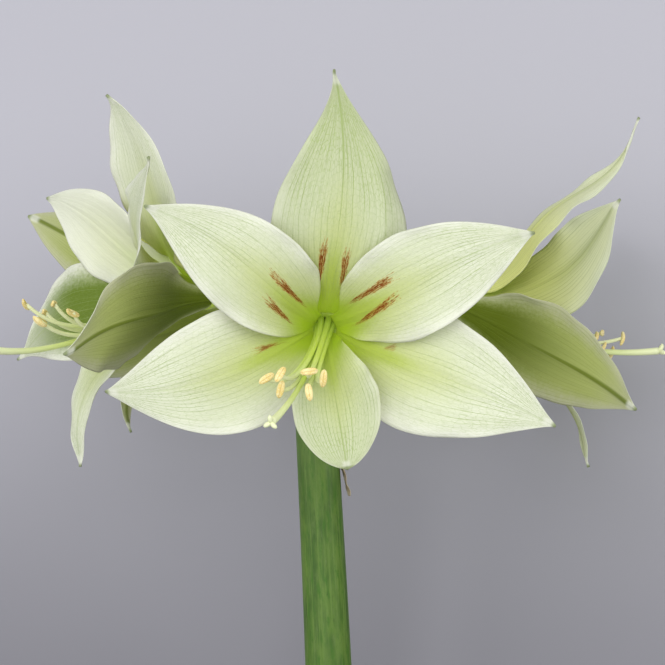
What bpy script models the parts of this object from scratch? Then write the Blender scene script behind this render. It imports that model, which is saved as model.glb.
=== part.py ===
"""Amaryllis stem: a hollow flower stem that carries an umbel of four blooms, cut and laid on its back.

Everything is first placed in the standing stem's frame: the top of the stem is the origin, +Z runs up
the stem, the front bloom faces -Y and +X is to its right. One empty, rest_pose, then lays the whole
stem down on the table: the front bloom looks up, and the stem is held up by its cut end and by the
tepals of the back and the right bloom. Sizes are in metres and angles in degrees.
"""

import math
from collections import namedtuple

import bmesh
import bpy
import numpy as np
from mathutils import Euler, Matrix, Vector

OBJECT_NAME = "amaryllis_stem"
GAP = 0.0003

# The scape, the long hollow flower stem
SCAPE_LENGTH = 0.420
SCAPE_TOP_RADIUS = 0.0100
SCAPE_END_RADIUS = 0.0130
SCAPE_TAPER_LENGTH = 0.300
SCAPE_LEAN = 0.056
SCAPE_BOW = 0.045
BORE_RADIUS = 0.0068
BORE_TOP = -0.050
SCAPE_SIDES = 24

# The stalk of a bloom, with the ovary and the tube that the tepals stand on
STALK_ROOT_OFFSET = 0.0056
STALK_ROOT_RADIUS = 0.0038
STALK_RADIUS = 0.0034
OVARY_RADIUS = 0.0064
OVARY_LOBE = 0.10
NECK_RADIUS = 0.0046
LIP_RADIUS = 0.0073
THROAT_RADIUS = 0.0031
THROAT_FLOOR_RADIUS = 0.0022
THROAT_DEPTH = 0.0100
STALK_SIDES = 12

# Tepals: the outer whorl stands behind the inner one on the tube's lip
TEPAL_THICKNESS = 0.0009
OUTER_BASE_RADIUS = 0.0066
INNER_BASE_RADIUS = 0.0051
TEPAL_BASE_HALF_WIDTH = 0.0044
TEPAL_TIP_HALF_WIDTH = 0.0006
WIDEST_WRAP = 52.0
FLARE_STATIONS = (0.0, 0.3, 0.65, 1.0)
CELLS_ACROSS = 6
CELLS_ALONG = 9

# Stamens and style
RING_RADIUS = 0.0037
RING_THICKNESS = 0.0006
FILAMENT_RADIUS = 0.0009
ANTHER_LENGTH = 0.0085
ANTHER_RADIUS = 0.0013
ANTHER_SPLAY = 0.35
ANTHER_TILT = 0.25
STYLE_RADIUS = 0.0011
STIGMA_LENGTH = 0.0050
ANTHER_SPREAD = 0.0125
ANTHER_LIFT = 0.0045
ANTHER_STAGGER = 0.008
# Before they spread, the filaments are bundled: they stand this share of their final distances apart
BUNDLE_SHARE = 0.45
STAMEN_COUNT = 6
FIRST_STAMEN = -150

# Stamens and style are joined with this solver: the exact one leaves slivers where they meet the ring
UNION_SOLVER = "MANIFOLD"

# Spathe valves, the withered sheath at the top of the stem
SPATHE_LENGTH = 0.039
SPATHE_HALF_WIDTH = 0.0065
SPATHE_THICKNESS = 0.0007
SPATHE_TOP = -0.0015
SPATHE_CLEARANCE = 0.0004
SPATHE_SLANT = 0.0012
SPATHE_CURL = 0.0060

# How the stem lies: pitch lifts the head, roll turns the stem about its own length
REST_PITCH = 15.22
REST_ROLL = 18.83

# azimuth is measured clockwise from the top of the bloom, seen from in front. flare is the angle
# between the tepal and the bloom's axis at each of the four stations. widest is where along it the
# tepal is widest, and taper is how fast it narrows to its tip: 1 is straight, more is drawn out.
# sway bends it sideways, twist turns its tip, and the margins roll back by a share of its width.
Tepal = namedtuple(
    "Tepal",
    "azimuth length half_width flare widest taper sway twist roll_left roll_right ruffle",
    defaults=(0.5, 1.5, 0.0, 0.0, 0.0, 0.0, 0.0018),
)

OUTER = ("outer_top", "outer_lower_left", "outer_lower_right")
INNER = ("inner_upper_left", "inner_upper_right", "inner_bottom")
FRONT_OUTER_FLARE = (12, 48, 78, 84)
FRONT_INNER_FLARE = (10, 42, 74, 86)

FRONT_TEPALS = {
    "outer_top": Tepal(2, 0.142, 0.0375, FRONT_OUTER_FLARE, 0.46, 1.9, sway=5, roll_right=0.05),
    "outer_lower_right": Tepal(110, 0.127, 0.0365, FRONT_OUTER_FLARE, 0.42, 1.3, sway=-2),
    "outer_lower_left": Tepal(-103, 0.116, 0.0385, FRONT_OUTER_FLARE, 0.40, 1.2, sway=-7),
    "inner_upper_right": Tepal(61.5, 0.129, 0.0265, FRONT_INNER_FLARE, 0.53, 1.25, sway=-5),
    "inner_upper_left": Tepal(-52, 0.125, 0.0270, (10, 39, 75, 87), 0.48, 1.25, sway=7, ruffle=0.0012),
    "inner_bottom": Tepal(169.5, 0.090, 0.0265, (8, 26, 44, 60), 0.58, 0.8, ruffle=0.0008),
}
LEFT_TEPALS = {
    "outer_top": Tepal(4, 0.108, 0.038, (12, 52, 70, 66), 0.44, 1.0, sway=15),
    "outer_lower_right": Tepal(114, 0.129, 0.040, (12, 36, 26, 34), 0.38, 1.1, sway=-8, roll_left=0.25),
    "outer_lower_left": Tepal(-107, 0.119, 0.0255, (12, 56, 84, 90), sway=8),
    "inner_upper_right": Tepal(55, 0.136, 0.023, (8, 36, 64, 80), 0.42, 1.3, twist=22),
    "inner_upper_left": Tepal(-50, 0.092, 0.0310, (8, 40, 68, 72), 0.45, 1.1, sway=10, twist=5),
    "inner_bottom": Tepal(181, 0.114, 0.0155, (8, 28, 57, 112), 0.5, 1.2),
}
RIGHT_TEPALS = {
    "outer_top": Tepal(2, 0.131, 0.038, (16, 74, 50, 104), 0.31, 3.0, twist=-20),
    "outer_lower_left": Tepal(-106, 0.118, 0.0270, (14, 53, 36, 58), 0.42, 1.2, sway=3, roll_right=0.25),
    "outer_lower_right": Tepal(112, 0.115, 0.030, (12, 50, 54, 60)),
    "inner_upper_left": Tepal(-49, 0.118, 0.0325, (8, 47, 84, 94), 0.36, 1.2, twist=-34, roll_right=0.2),
    "inner_upper_right": Tepal(52, 0.129, 0.0225, (8, 46, 74, 80), 0.48, 1.2),
    "inner_bottom": Tepal(180, 0.109, 0.018, (8, 16, 28, 74), 0.42, 1.3),
}
BACK_TEPALS = {
    "outer_top": Tepal(0, 0.096, 0.026, (10, 36, 46, 44)),
    "outer_lower_left": Tepal(-120, 0.112, 0.030, (12, 46, 66, 70)),
    "outer_lower_right": Tepal(116, 0.098, 0.020, (12, 40, 60, 170)),
    "inner_upper_left": Tepal(-60, 0.112, 0.024, (8, 32, 44, 50), 0.48, 1.2),
    "inner_upper_right": Tepal(56, 0.121, 0.024, (8, 34, 54, 60), 0.50, 1.0),
    "inner_bottom": Tepal(166, 0.112, 0.015, (8, 24, 34, 150), 0.44, 1.6),
}

# faces is the direction that the bloom looks in, turned from the front towards +X; nods is how far
# it looks down. root is where round the scape's top its stalk stands, and mouth is the middle of the
# tube's lip. anthers is the middle of the ring of anthers: right, up and ahead of the mouth. sag is how
# far below it the filaments pass before they turn up. turn is where on the throat ring the stamens
# start, and stigma is where the style ends.
Bloom = namedtuple("Bloom", "faces nods root mouth tepals anthers sag turn stigma")
BLOOMS = {
    "front": Bloom(
        faces=0,
        nods=8,
        root=-75,
        mouth=(0.0045, -0.065, 0.0435),
        tepals=FRONT_TEPALS,
        anthers=(-0.013, -0.0145, 0.074),
        sag=0.0095,
        turn=0,
        stigma=(-0.024, -0.028, 0.095),
    ),
    "left": Bloom(
        faces=-55,
        nods=0,
        root=195,
        mouth=(-0.052, -0.022, 0.058),
        tepals=LEFT_TEPALS,
        anthers=(0.002, -0.009, 0.088),
        sag=0.022,
        turn=0,
        stigma=(0.002, -0.026, 0.116),
    ),
    "right": Bloom(
        faces=98,
        nods=20,
        root=15,
        mouth=(0.064, 0.010, 0.056),
        tepals=RIGHT_TEPALS,
        anthers=(-0.004, 0.007, 0.078),
        sag=0.016,
        turn=0,
        stigma=(-0.004, 0.012, 0.106),
    ),
    "back": Bloom(
        faces=-135,
        nods=0,
        root=105,
        mouth=(-0.034, 0.047, 0.052),
        tepals=BACK_TEPALS,
        anthers=(0.0, -0.012, 0.078),
        sag=0.012,
        turn=0,
        stigma=(0.0, -0.024, 0.104),
    ),
}

# Surface finishes: colour, roughness
FINISHES = {
    "scape_green": ((0.13, 0.27, 0.07), 0.45),
    "stalk_green": ((0.24, 0.40, 0.10), 0.45),
    "tepal_white_green": ((0.72, 0.80, 0.52), 0.55),
    "stamen_yellow": ((0.75, 0.62, 0.25), 0.65),
    "style_green": ((0.62, 0.74, 0.36), 0.50),
    "spathe_brown": ((0.46, 0.36, 0.22), 0.75),
}


def clear_scene():
    for found in list(bpy.data.objects):
        bpy.data.objects.remove(found)


def make_finish(name):
    colour, roughness = FINISHES[name]
    material = bpy.data.materials.new(name)
    material.use_nodes = True
    shader = material.node_tree.nodes["Principled BSDF"]
    shader.inputs["Base Color"].default_value = (*colour, 1.0)
    shader.inputs["Roughness"].default_value = roughness
    shader.inputs["Metallic"].default_value = 0.0
    return material


def make_empty(name, parent, matrix):
    empty = bpy.data.objects.new(name, None)
    empty.empty_display_size = 0.02
    PLANT.objects.link(empty)
    empty.parent = parent
    empty.matrix_local = matrix
    return empty


def make_object(name, mesh, parent, finish):
    made = bpy.data.objects.new(name, mesh)
    mesh.materials.append(MATERIALS[finish])
    mesh.shade_smooth()
    PLANT.objects.link(made)
    made.parent = parent
    return made


def through_stations(values, t):
    """A smooth curve through the values at FLARE_STATIONS, read at every t."""
    stations = np.array(FLARE_STATIONS)
    heights = np.array(values, float)
    slopes = np.gradient(heights, stations)
    span = np.clip(np.searchsorted(stations, t, side="right") - 1, 0, len(stations) - 2)
    width = stations[span + 1] - stations[span]
    u = (t - stations[span]) / width
    start = (2 * u**3 - 3 * u**2 + 1) * heights[span] + (u**3 - 2 * u**2 + u) * width * slopes[span]
    end = (3 * u**2 - 2 * u**3) * heights[span + 1] + (u**3 - u**2) * width * slopes[span + 1]
    return start + end


def tepal_half_width(tepal, t):
    """t^m (1-t)^n over its peak, so the blade is widest at m / (m + n); a narrow claw at its foot."""
    n = tepal.taper
    m = n * tepal.widest / (1 - tepal.widest)
    peak = tepal.widest**m * (1 - tepal.widest) ** n
    blade = tepal.half_width * t**m * (1 - t) ** n / peak
    return blade + TEPAL_BASE_HALF_WIDTH * (1 - t) ** 3 + TEPAL_TIP_HALF_WIDTH * t


def tepal_points(tepal, base_radius, s, t):
    """Points of the tepal's middle surface: s runs across it from -1 to 1, and t from foot to tip.

    The middle line leaves the lip at the base radius and bends away from the bloom's axis (+Z) by the
    flare. Across it the tepal is an arc round the axis, which keeps it hollow at the foot and nearly
    flat at the middle, and its margins rise and fall in a slow wave.
    """
    steps = np.linspace(0, 1, 241)
    angle = np.radians(through_stations(tepal.flare, steps))
    middle_angle = 0.5 * (angle[1:] + angle[:-1])
    step = tepal.length / (len(steps) - 1)
    along = np.concatenate([[0], np.cumsum(np.cos(middle_angle) * step)])
    outward = base_radius + np.concatenate([[0], np.cumsum(np.sin(middle_angle) * step)])
    z = np.interp(t, steps, along)
    r = np.interp(t, steps, outward)
    psi = np.interp(t, steps, angle)
    turn = np.radians(tepal.sway) * np.sin(math.pi * t)
    outwards = np.stack([np.sin(turn), np.cos(turn), 0 * t], -1)
    across = np.stack([np.cos(turn), -np.sin(turn), 0 * t], -1)
    axis = np.array([0.0, 0.0, 1.0])
    ahead = np.cos(psi)[:, None] * axis + np.sin(psi)[:, None] * outwards
    facing = np.sin(psi)[:, None] * axis - np.cos(psi)[:, None] * outwards
    twist = (np.radians(tepal.twist) * t**1.5)[:, None]
    side = across * np.cos(twist) + facing * np.sin(twist)
    front = facing * np.cos(twist) - across * np.sin(twist)
    limit = math.radians(WIDEST_WRAP)
    wrap = limit * np.tanh(tepal_half_width(tepal, t) / r / limit)
    arc = wrap * s
    rise = r * (1 - np.cos(arc))
    wave = tepal.ruffle * np.abs(s) ** 2.5 * np.sin(math.pi * t)
    wave *= np.sin(4 * math.pi * t + 1.3 * np.sign(s))
    roll = np.where(s > 0, tepal.roll_right, tepal.roll_left) * np.abs(s) ** 4
    wave -= roll * tepal_half_width(tepal, t) * np.sin(math.pi * t) ** 2
    points = axis * (z + GAP)[:, None] + outwards * r[:, None]
    points += side * (r * np.sin(arc))[:, None]
    points += front * (rise * np.cos(psi) + wave)[:, None]
    points -= ahead * (rise * np.sin(psi))[:, None]
    return points


def make_tepal(name, tepal, base_radius, parent):
    form = bmesh.new()
    bmesh.ops.create_grid(form, x_segments=CELLS_ACROSS, y_segments=CELLS_ALONG, size=1.0)
    grid = np.array([vertex.co for vertex in form.verts])
    places = tepal_points(tepal, base_radius, grid[:, 0], (grid[:, 1] + 1) / 2)
    for vertex, place in zip(form.verts, places):
        vertex.co = place
    bmesh.ops.triangulate(form, faces=form.faces)
    mesh = bpy.data.meshes.new(name)
    form.to_mesh(mesh)
    form.free()
    made = make_object(name, mesh, parent, "tepal_white_green")
    made.rotation_euler = Euler((0, 0, -math.radians(tepal.azimuth)))
    solidify = made.modifiers.new("thickness", "SOLIDIFY")
    solidify.thickness = TEPAL_THICKNESS
    solidify.offset = 0.0
    return made


def bezier(ends, t):
    """Points of the cubic curve with these four control points."""
    a, b, c, d = (np.array(point, float) for point in ends)
    u = np.asarray(t)[:, None]
    return a * (1 - u) ** 3 + 3 * b * u * (1 - u) ** 2 + 3 * c * u**2 * (1 - u) + d * u**3


def ring_loft(name, rings, parent, finish):
    """A closed body skinned over rings of equal sides, with a flat cap on the first and last ring."""
    count, sides = rings.shape[:2]
    first = np.arange(count - 1)[:, None] * sides + np.arange(sides)
    second = np.arange(count - 1)[:, None] * sides + (np.arange(sides) + 1) % sides
    quads = np.stack([first, second, second + sides, first + sides], -1).reshape(-1, 4)
    caps = [list(range(sides))[::-1], list(range((count - 1) * sides, count * sides))]
    mesh = bpy.data.meshes.new(name)
    mesh.from_pydata(rings.reshape(-1, 3).tolist(), [], quads.tolist() + caps)
    form = bmesh.new()
    form.from_mesh(mesh)
    bmesh.ops.triangulate(form, faces=form.faces)
    bmesh.ops.recalc_face_normals(form, faces=form.faces)
    form.to_mesh(mesh)
    form.free()
    return make_object(name, mesh, parent, finish)


def scape_middle(z):
    """How far the scape's middle line stands to the side at the height z: it leans and is bowed."""
    return -SCAPE_LEAN * z - SCAPE_BOW * z**2


def make_scape():
    """A hollow tube: from the bore's closed top down the bore, round the cut end and up the outside."""
    stations = [(BORE_TOP, 0.45 * BORE_RADIUS)]
    for down in (0.006 - BORE_TOP, 0.20, 0.31, SCAPE_LENGTH):
        stations.append((-down, BORE_RADIUS))
    for down in (SCAPE_LENGTH, 0.34, 0.26, 0.18, 0.11, 0.05, 0.012, 0.0):
        share = min(down / SCAPE_TAPER_LENGTH, 1.0)
        radius = SCAPE_TOP_RADIUS + (SCAPE_END_RADIUS - SCAPE_TOP_RADIUS) * share
        stations.append((-down, radius))
    turn = np.linspace(0, 2 * math.pi, SCAPE_SIDES, endpoint=False)
    rings = []
    for z, radius in stations:
        across = scape_middle(z) + radius * np.cos(turn)
        rings.append(np.stack([across, radius * np.sin(turn), 0 * turn + z], -1))
    return ring_loft("scape", np.array(rings), REST, "scape_green")


def bloom_matrix(bloom):
    """Local +Z is the way the bloom looks, +Y its top and +X its right, seen from in front."""
    turn = math.radians(bloom.faces)
    nod = math.radians(bloom.nods)
    axis = Vector((math.sin(turn) * math.cos(nod), -math.cos(turn) * math.cos(nod), -math.sin(nod)))
    up = Vector((0, 0, 1)) - axis * axis.z
    up.normalize()
    right = up.cross(axis)
    turned = Matrix((right, up, axis)).transposed().to_4x4()
    return Matrix.Translation(bloom.mouth) @ turned


def make_stalk(name, bloom, matrix):
    """Stalk, three-lobed ovary and tube: rings along a curve that ends square to the bloom's mouth."""
    mouth = np.array(bloom.mouth)
    axis = np.array(matrix.to_3x3().col[2])
    stands = math.radians(bloom.root)
    root = np.array([STALK_ROOT_OFFSET * math.cos(stands), STALK_ROOT_OFFSET * math.sin(stands), GAP])
    reach = np.linalg.norm(mouth - root)
    ends = (root, root + np.array([0, 0, 0.36 * reach]), mouth - axis * 0.55 * reach, mouth)
    fine = bezier(ends, np.linspace(0, 1, 201))
    lengths = np.concatenate([[0], np.cumsum(np.linalg.norm(np.diff(fine, axis=0), axis=1))])
    total = lengths[-1]
    slopes = np.gradient(fine, lengths, axis=0)
    # Each station: place along the curve, radius, and how strongly its three lobes stand out
    profile = [
        (0.0, STALK_ROOT_RADIUS, 0.0),
        (0.004, STALK_RADIUS, 0.0),
        (0.5 * (total - 0.030), STALK_RADIUS, 0.0),
        (total - 0.038, 0.0043, 0.0),
        (total - 0.032, OVARY_RADIUS * 0.92, OVARY_LOBE),
        (total - 0.026, OVARY_RADIUS, OVARY_LOBE),
        (total - 0.020, OVARY_RADIUS * 0.86, OVARY_LOBE),
        (total - 0.015, NECK_RADIUS, 0.0),
        (total - 0.008, 0.0054, 0.0),
        (total, LIP_RADIUS, 0.0),
        (total, THROAT_RADIUS, 0.0),
        (total - 0.5 * THROAT_DEPTH, 0.5 * (THROAT_RADIUS + THROAT_FLOOR_RADIUS), 0.0),
        (total - THROAT_DEPTH, THROAT_FLOOR_RADIUS, 0.0),
    ]
    turn = np.linspace(0, 2 * math.pi, STALK_SIDES, endpoint=False)
    side = np.array(matrix.to_3x3().col[0])
    rings = []
    for place, radius, lobe in profile:
        centre = np.array([np.interp(place, lengths, fine[:, k]) for k in range(3)])
        ahead = np.array([np.interp(place, lengths, slopes[:, k]) for k in range(3)])
        ahead /= np.linalg.norm(ahead)
        across = side - ahead * (side @ ahead)
        across /= np.linalg.norm(across)
        over = np.cross(ahead, across)
        radii = radius * (1 + lobe * np.cos(3 * turn))
        sideways = np.outer(radii * np.cos(turn), across)
        rings.append(centre + sideways + np.outer(radii * np.sin(turn), over))
    return ring_loft(name, np.array(rings), REST, "stalk_green")


def tube_mesh(name, points, radii, resolution=0):
    """A closed tube along the points, as a mesh. Resolution 0 gives four sides, each step two more."""
    curve = bpy.data.curves.new(name, "CURVE")
    curve.dimensions = "3D"
    curve.bevel_depth = 1.0
    curve.bevel_resolution = resolution
    curve.use_fill_caps = True
    spline = curve.splines.new("POLY")
    spline.points.add(len(points) - 1)
    for knot, place, radius in zip(spline.points, points, radii):
        knot.co = (*place, 1.0)
        knot.radius = radius
    holder = bpy.data.objects.new(name, curve)
    PLANT.objects.link(holder)
    bpy.context.view_layer.update()
    graph = bpy.context.evaluated_depsgraph_get()
    mesh = bpy.data.meshes.new_from_object(holder.evaluated_get(graph))
    bpy.data.objects.remove(holder)
    form = bmesh.new()
    form.from_mesh(mesh)
    bmesh.ops.remove_doubles(form, verts=form.verts, dist=0.00001)
    bmesh.ops.triangulate(form, faces=form.faces)
    bmesh.ops.recalc_face_normals(form, faces=form.faces)
    form.to_mesh(mesh)
    form.free()
    mesh.name = name
    return mesh


def join_bodies(name, meshes, parent, finish):
    """One body from several that overlap: a Boolean union on a collection, then applied."""
    helpers = bpy.data.collections.new(name + "_bodies")
    bpy.context.scene.collection.children.link(helpers)
    helpers.hide_render = True
    for number, mesh in enumerate(meshes[1:]):
        helper = bpy.data.objects.new(f"{name}_body_{number}", mesh)
        helper.display_type = "WIRE"
        helper.hide_render = True
        helpers.objects.link(helper)
    carrier = bpy.data.objects.new(name + "_carrier", meshes[0])
    bpy.context.scene.collection.objects.link(carrier)
    union = carrier.modifiers.new("union", "BOOLEAN")
    union.operation = "UNION"
    union.operand_type = "COLLECTION"
    union.collection = helpers
    union.solver = UNION_SOLVER
    bpy.context.view_layer.update()
    graph = bpy.context.evaluated_depsgraph_get()
    joined = bpy.data.meshes.new_from_object(carrier.evaluated_get(graph))
    joined.name = name
    bpy.data.objects.remove(carrier)
    for helper in list(helpers.objects):
        bpy.data.objects.remove(helper)
    bpy.data.collections.remove(helpers)
    joined.materials.clear()
    return make_object(name, joined, parent, finish)


def stamen_curve(bloom, azimuth):
    """The filament leaves the throat ring, sinks in a bundle with the others and spreads at its end."""
    a = math.radians(azimuth)
    foot = np.array([RING_RADIUS * math.sin(a), RING_RADIUS * math.cos(a), 0.0010])
    spread = ANTHER_SPREAD * math.sin(a)
    lift = ANTHER_LIFT * math.cos(a)
    reach = ANTHER_STAGGER * math.cos(2 * a + 0.6)
    middle = np.array(bloom.anthers)
    apart = np.array([spread, lift, reach])
    first = foot + np.array([0.0, -0.002, 0.024])
    second = middle + BUNDLE_SHARE * apart + (-0.2 * middle[0], -bloom.sag, -0.25 * middle[2])
    return foot, first, second, middle + apart


def anther_mesh(name, centre, along):
    form = bmesh.new()
    bmesh.ops.create_uvsphere(form, u_segments=5, v_segments=4, radius=1.0)
    size = Matrix.Diagonal((ANTHER_RADIUS, ANTHER_RADIUS, ANTHER_LENGTH / 2, 1.0))
    turned = Vector(along).to_track_quat("Z", "X").to_matrix().to_4x4()
    bmesh.ops.transform(form, matrix=Matrix.Translation(centre) @ turned @ size, verts=form.verts)
    mesh = bpy.data.meshes.new(name)
    form.to_mesh(mesh)
    form.free()
    return mesh


def make_stamens(name, bloom, parent):
    """Six filaments on one throat ring, each with its anther set across its end."""
    turn = np.linspace(0, 2 * math.pi, 13)
    height = 0 * turn + GAP + RING_THICKNESS
    ring = np.stack([RING_RADIUS * np.sin(turn), RING_RADIUS * np.cos(turn), height], -1)
    meshes = [ring_mesh(name + "_ring", ring[:-1])]
    for number in range(STAMEN_COUNT):
        azimuth = FIRST_STAMEN + bloom.turn + number * 360 / STAMEN_COUNT
        ends = stamen_curve(bloom, azimuth)
        path = bezier(ends, np.linspace(0, 1, 7))
        radii = FILAMENT_RADIUS * np.linspace(1.0, 0.78, 7)
        meshes.append(tube_mesh(f"{name}_filament_{number}", path, radii, 0))
        side = (ANTHER_SPLAY * math.cos(math.radians(azimuth)), 1.0, -ANTHER_TILT)
        meshes.append(anther_mesh(f"{name}_anther_{number}", path[-1], side))
    return join_bodies(name, meshes, parent, "stamen_yellow")


def ring_mesh(name, middle):
    """A closed ring with a square section round the throat."""
    outward = middle * [1, 1, 0]
    outward /= np.linalg.norm(outward, axis=1)[:, None]
    up = np.array([0.0, 0.0, 1.0])
    corners = [(-1, -1), (1, -1), (1, 1), (-1, 1)]
    rings = [middle + RING_THICKNESS * (a * outward + b * up) for a, b in corners]
    points = np.stack(rings, 1)
    count = len(middle)
    quads = []
    for i in range(count):
        j = (i + 1) % count
        for k in range(4):
            m = (k + 1) % 4
            quads.append((i * 4 + k, j * 4 + k, j * 4 + m, i * 4 + m))
    mesh = bpy.data.meshes.new(name)
    mesh.from_pydata(points.reshape(-1, 3).tolist(), [], quads)
    form = bmesh.new()
    form.from_mesh(mesh)
    bmesh.ops.triangulate(form, faces=form.faces)
    bmesh.ops.recalc_face_normals(form, faces=form.faces)
    form.to_mesh(mesh)
    form.free()
    return mesh


def make_style(name, bloom, parent):
    """The style rises from the floor of the throat and ends in three short stigma lobes."""
    side, lift, reach = bloom.anthers
    foot = (0.0, 0.0, GAP - THROAT_DEPTH)
    ends = (foot, (0.0, -0.002, 0.35 * reach), (0.8 * side, lift - bloom.sag, 0.8 * reach), bloom.stigma)
    path = bezier(ends, np.linspace(0, 1, 9))
    meshes = [tube_mesh(name + "_tube", path, np.full(9, STYLE_RADIUS), 1)]
    ahead = path[-1] - path[-2]
    ahead /= np.linalg.norm(ahead)
    for number in range(3):
        a = math.radians(120 * number)
        out = np.array([math.sin(a), math.cos(a), 0.0])
        out -= ahead * (out @ ahead)
        tip = path[-1] + STIGMA_LENGTH * (0.62 * ahead + 0.78 * out)
        start = path[-1] - 0.6 * STYLE_RADIUS * ahead
        lobe = np.array([start, 0.5 * (start + tip) + 0.0005 * out, tip])
        radii = STYLE_RADIUS * np.array([0.75, 0.8, 0.45])
        meshes.append(tube_mesh(f"{name}_lobe_{number}", lobe, radii, 0))
    return join_bodies(name, meshes, parent, "style_green")


def make_spathe(name, azimuth, curl):
    """A papery valve that hangs from the rim: it hugs the scape, then its pointed tip curls away."""
    form = bmesh.new()
    bmesh.ops.create_grid(form, x_segments=4, y_segments=7, size=1.0)
    for vertex in form.verts:
        s = vertex.co.x
        t = (vertex.co.y + 1) / 2
        z = SPATHE_TOP - SPATHE_LENGTH * t * (1 - 0.12 * curl * t**3)
        half = SPATHE_HALF_WIDTH * (1 - t) ** 0.8 + 0.0006
        radius = SCAPE_TOP_RADIUS + SPATHE_CLEARANCE + 0.5 * SPATHE_THICKNESS
        radius += SPATHE_SLANT * t + SPATHE_CURL * curl * t**4 + 0.0010 * s**2 * t
        angle = math.radians(azimuth) + s * half / SCAPE_TOP_RADIUS
        vertex.co = (scape_middle(z) + radius * math.sin(angle), -radius * math.cos(angle), z)
    bmesh.ops.triangulate(form, faces=form.faces)
    mesh = bpy.data.meshes.new(name)
    form.to_mesh(mesh)
    form.free()
    made = make_object(name, mesh, REST, "spathe_brown")
    solidify = made.modifiers.new("thickness", "SOLIDIFY")
    solidify.thickness = SPATHE_THICKNESS
    solidify.offset = 0.0
    return made


def make_bloom(name, bloom):
    matrix = bloom_matrix(bloom)
    holder = make_empty("bloom_" + name, REST, matrix)
    make_stalk(name + "_stalk", bloom, matrix)
    for place in OUTER:
        make_tepal(f"{name}_{place}", bloom.tepals[place], OUTER_BASE_RADIUS, holder)
    for place in INNER:
        make_tepal(f"{name}_{place}", bloom.tepals[place], INNER_BASE_RADIUS, holder)
    make_stamens(name + "_stamens", bloom, holder)
    make_style(name + "_style", bloom, holder)


def lay_down():
    """Turns the stem onto its back, then sets the middle of its footprint's box on the origin."""
    back = Matrix.Rotation(math.radians(-90), 4, "X")
    roll = Matrix.Rotation(math.radians(REST_ROLL), 4, "Y")
    pitch = Matrix.Rotation(math.radians(REST_PITCH), 4, "X")
    REST.matrix_world = pitch @ roll @ back
    bpy.context.view_layer.update()
    graph = bpy.context.evaluated_depsgraph_get()
    corners = []
    for part in PLANT.objects:
        if part.type != "MESH":
            continue
        mesh = part.evaluated_get(graph).to_mesh()
        places = np.empty(3 * len(mesh.vertices))
        mesh.vertices.foreach_get("co", places)
        world = np.array(part.matrix_world)
        places = places.reshape(-1, 3) @ world[:3, :3].T + world[:3, 3]
        corners += [places.min(axis=0), places.max(axis=0)]
    low = np.min(corners, axis=0)
    high = np.max(corners, axis=0)
    middle = (low + high) / 2
    REST.location = (-middle[0], -middle[1], -low[2])
    bpy.context.view_layer.update()
    print("box in millimetres:", np.round((high - low) * 1000, 1))


clear_scene()
PLANT = bpy.data.collections.new(OBJECT_NAME)
bpy.context.scene.collection.children.link(PLANT)
MATERIALS = {name: make_finish(name) for name in FINISHES}
REST = make_empty("rest_pose", None, Matrix.Identity(4))
make_scape()
make_spathe("spathe_right", 100, 0.35)
make_spathe("spathe_back", -165, 0.5)
for bloom_name, bloom_shape in BLOOMS.items():
    make_bloom(bloom_name, bloom_shape)
lay_down()
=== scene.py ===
# %% [markdown]
# # A cut amaryllis, laid on its back
#
# This notebook dresses one stem of amaryllis: a thick hollow stem, two withered sheath valves and
# four open blooms. The plain solids of the stem are already packed in one fixed frame. They say
# where everything is, and they stay behind the scenes for collisions. Each piece made here takes
# the place of one of those solids, with a finer surface and a living finish.

# %% Load the fixed frame
import math
from collections import namedtuple
from types import SimpleNamespace

import bpy
import numpy as np
from mathutils import Matrix, Vector


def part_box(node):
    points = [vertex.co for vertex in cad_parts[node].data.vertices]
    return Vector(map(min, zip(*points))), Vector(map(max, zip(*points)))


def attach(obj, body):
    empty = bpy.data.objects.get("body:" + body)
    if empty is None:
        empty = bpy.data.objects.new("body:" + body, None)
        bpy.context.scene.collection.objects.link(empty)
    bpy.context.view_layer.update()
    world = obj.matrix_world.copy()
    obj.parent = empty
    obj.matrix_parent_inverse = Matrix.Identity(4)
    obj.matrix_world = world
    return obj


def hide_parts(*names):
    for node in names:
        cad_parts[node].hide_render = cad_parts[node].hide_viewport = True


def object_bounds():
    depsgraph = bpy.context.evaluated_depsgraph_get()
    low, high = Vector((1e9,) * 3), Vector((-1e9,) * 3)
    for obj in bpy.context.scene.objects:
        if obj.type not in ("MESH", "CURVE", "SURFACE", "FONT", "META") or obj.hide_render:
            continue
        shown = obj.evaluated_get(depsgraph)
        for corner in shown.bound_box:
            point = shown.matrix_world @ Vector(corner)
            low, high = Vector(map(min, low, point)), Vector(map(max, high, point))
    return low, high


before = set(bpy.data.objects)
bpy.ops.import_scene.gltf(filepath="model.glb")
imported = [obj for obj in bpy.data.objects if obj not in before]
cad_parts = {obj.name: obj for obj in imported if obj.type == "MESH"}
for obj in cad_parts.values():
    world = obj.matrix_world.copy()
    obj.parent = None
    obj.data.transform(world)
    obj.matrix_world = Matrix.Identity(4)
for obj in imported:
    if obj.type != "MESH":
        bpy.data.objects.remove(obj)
SOLIDS_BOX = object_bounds()
BOX_SIZE = SOLIDS_BOX[1] - SOLIDS_BOX[0]
print("solids:", len(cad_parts), "box in mm:", [round(side * 1000, 1) for side in BOX_SIZE])

# %% [markdown]
# ## Standing first, lying down last
#
# A flower is easier to describe while it stands. So every shape below is worked out in the standing
# stem's own frame: the top of the stem is the origin, +Z runs up the stem, and the front bloom looks
# along -Y. One turn and one shift then lay the whole plant on the table. The turn is the one that
# the solids were laid down with. The shift is found by comparing the stem's box with its solid's.

# %% The turn that lays the stem down
REST_PITCH = 15.22
REST_ROLL = 18.83

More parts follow.
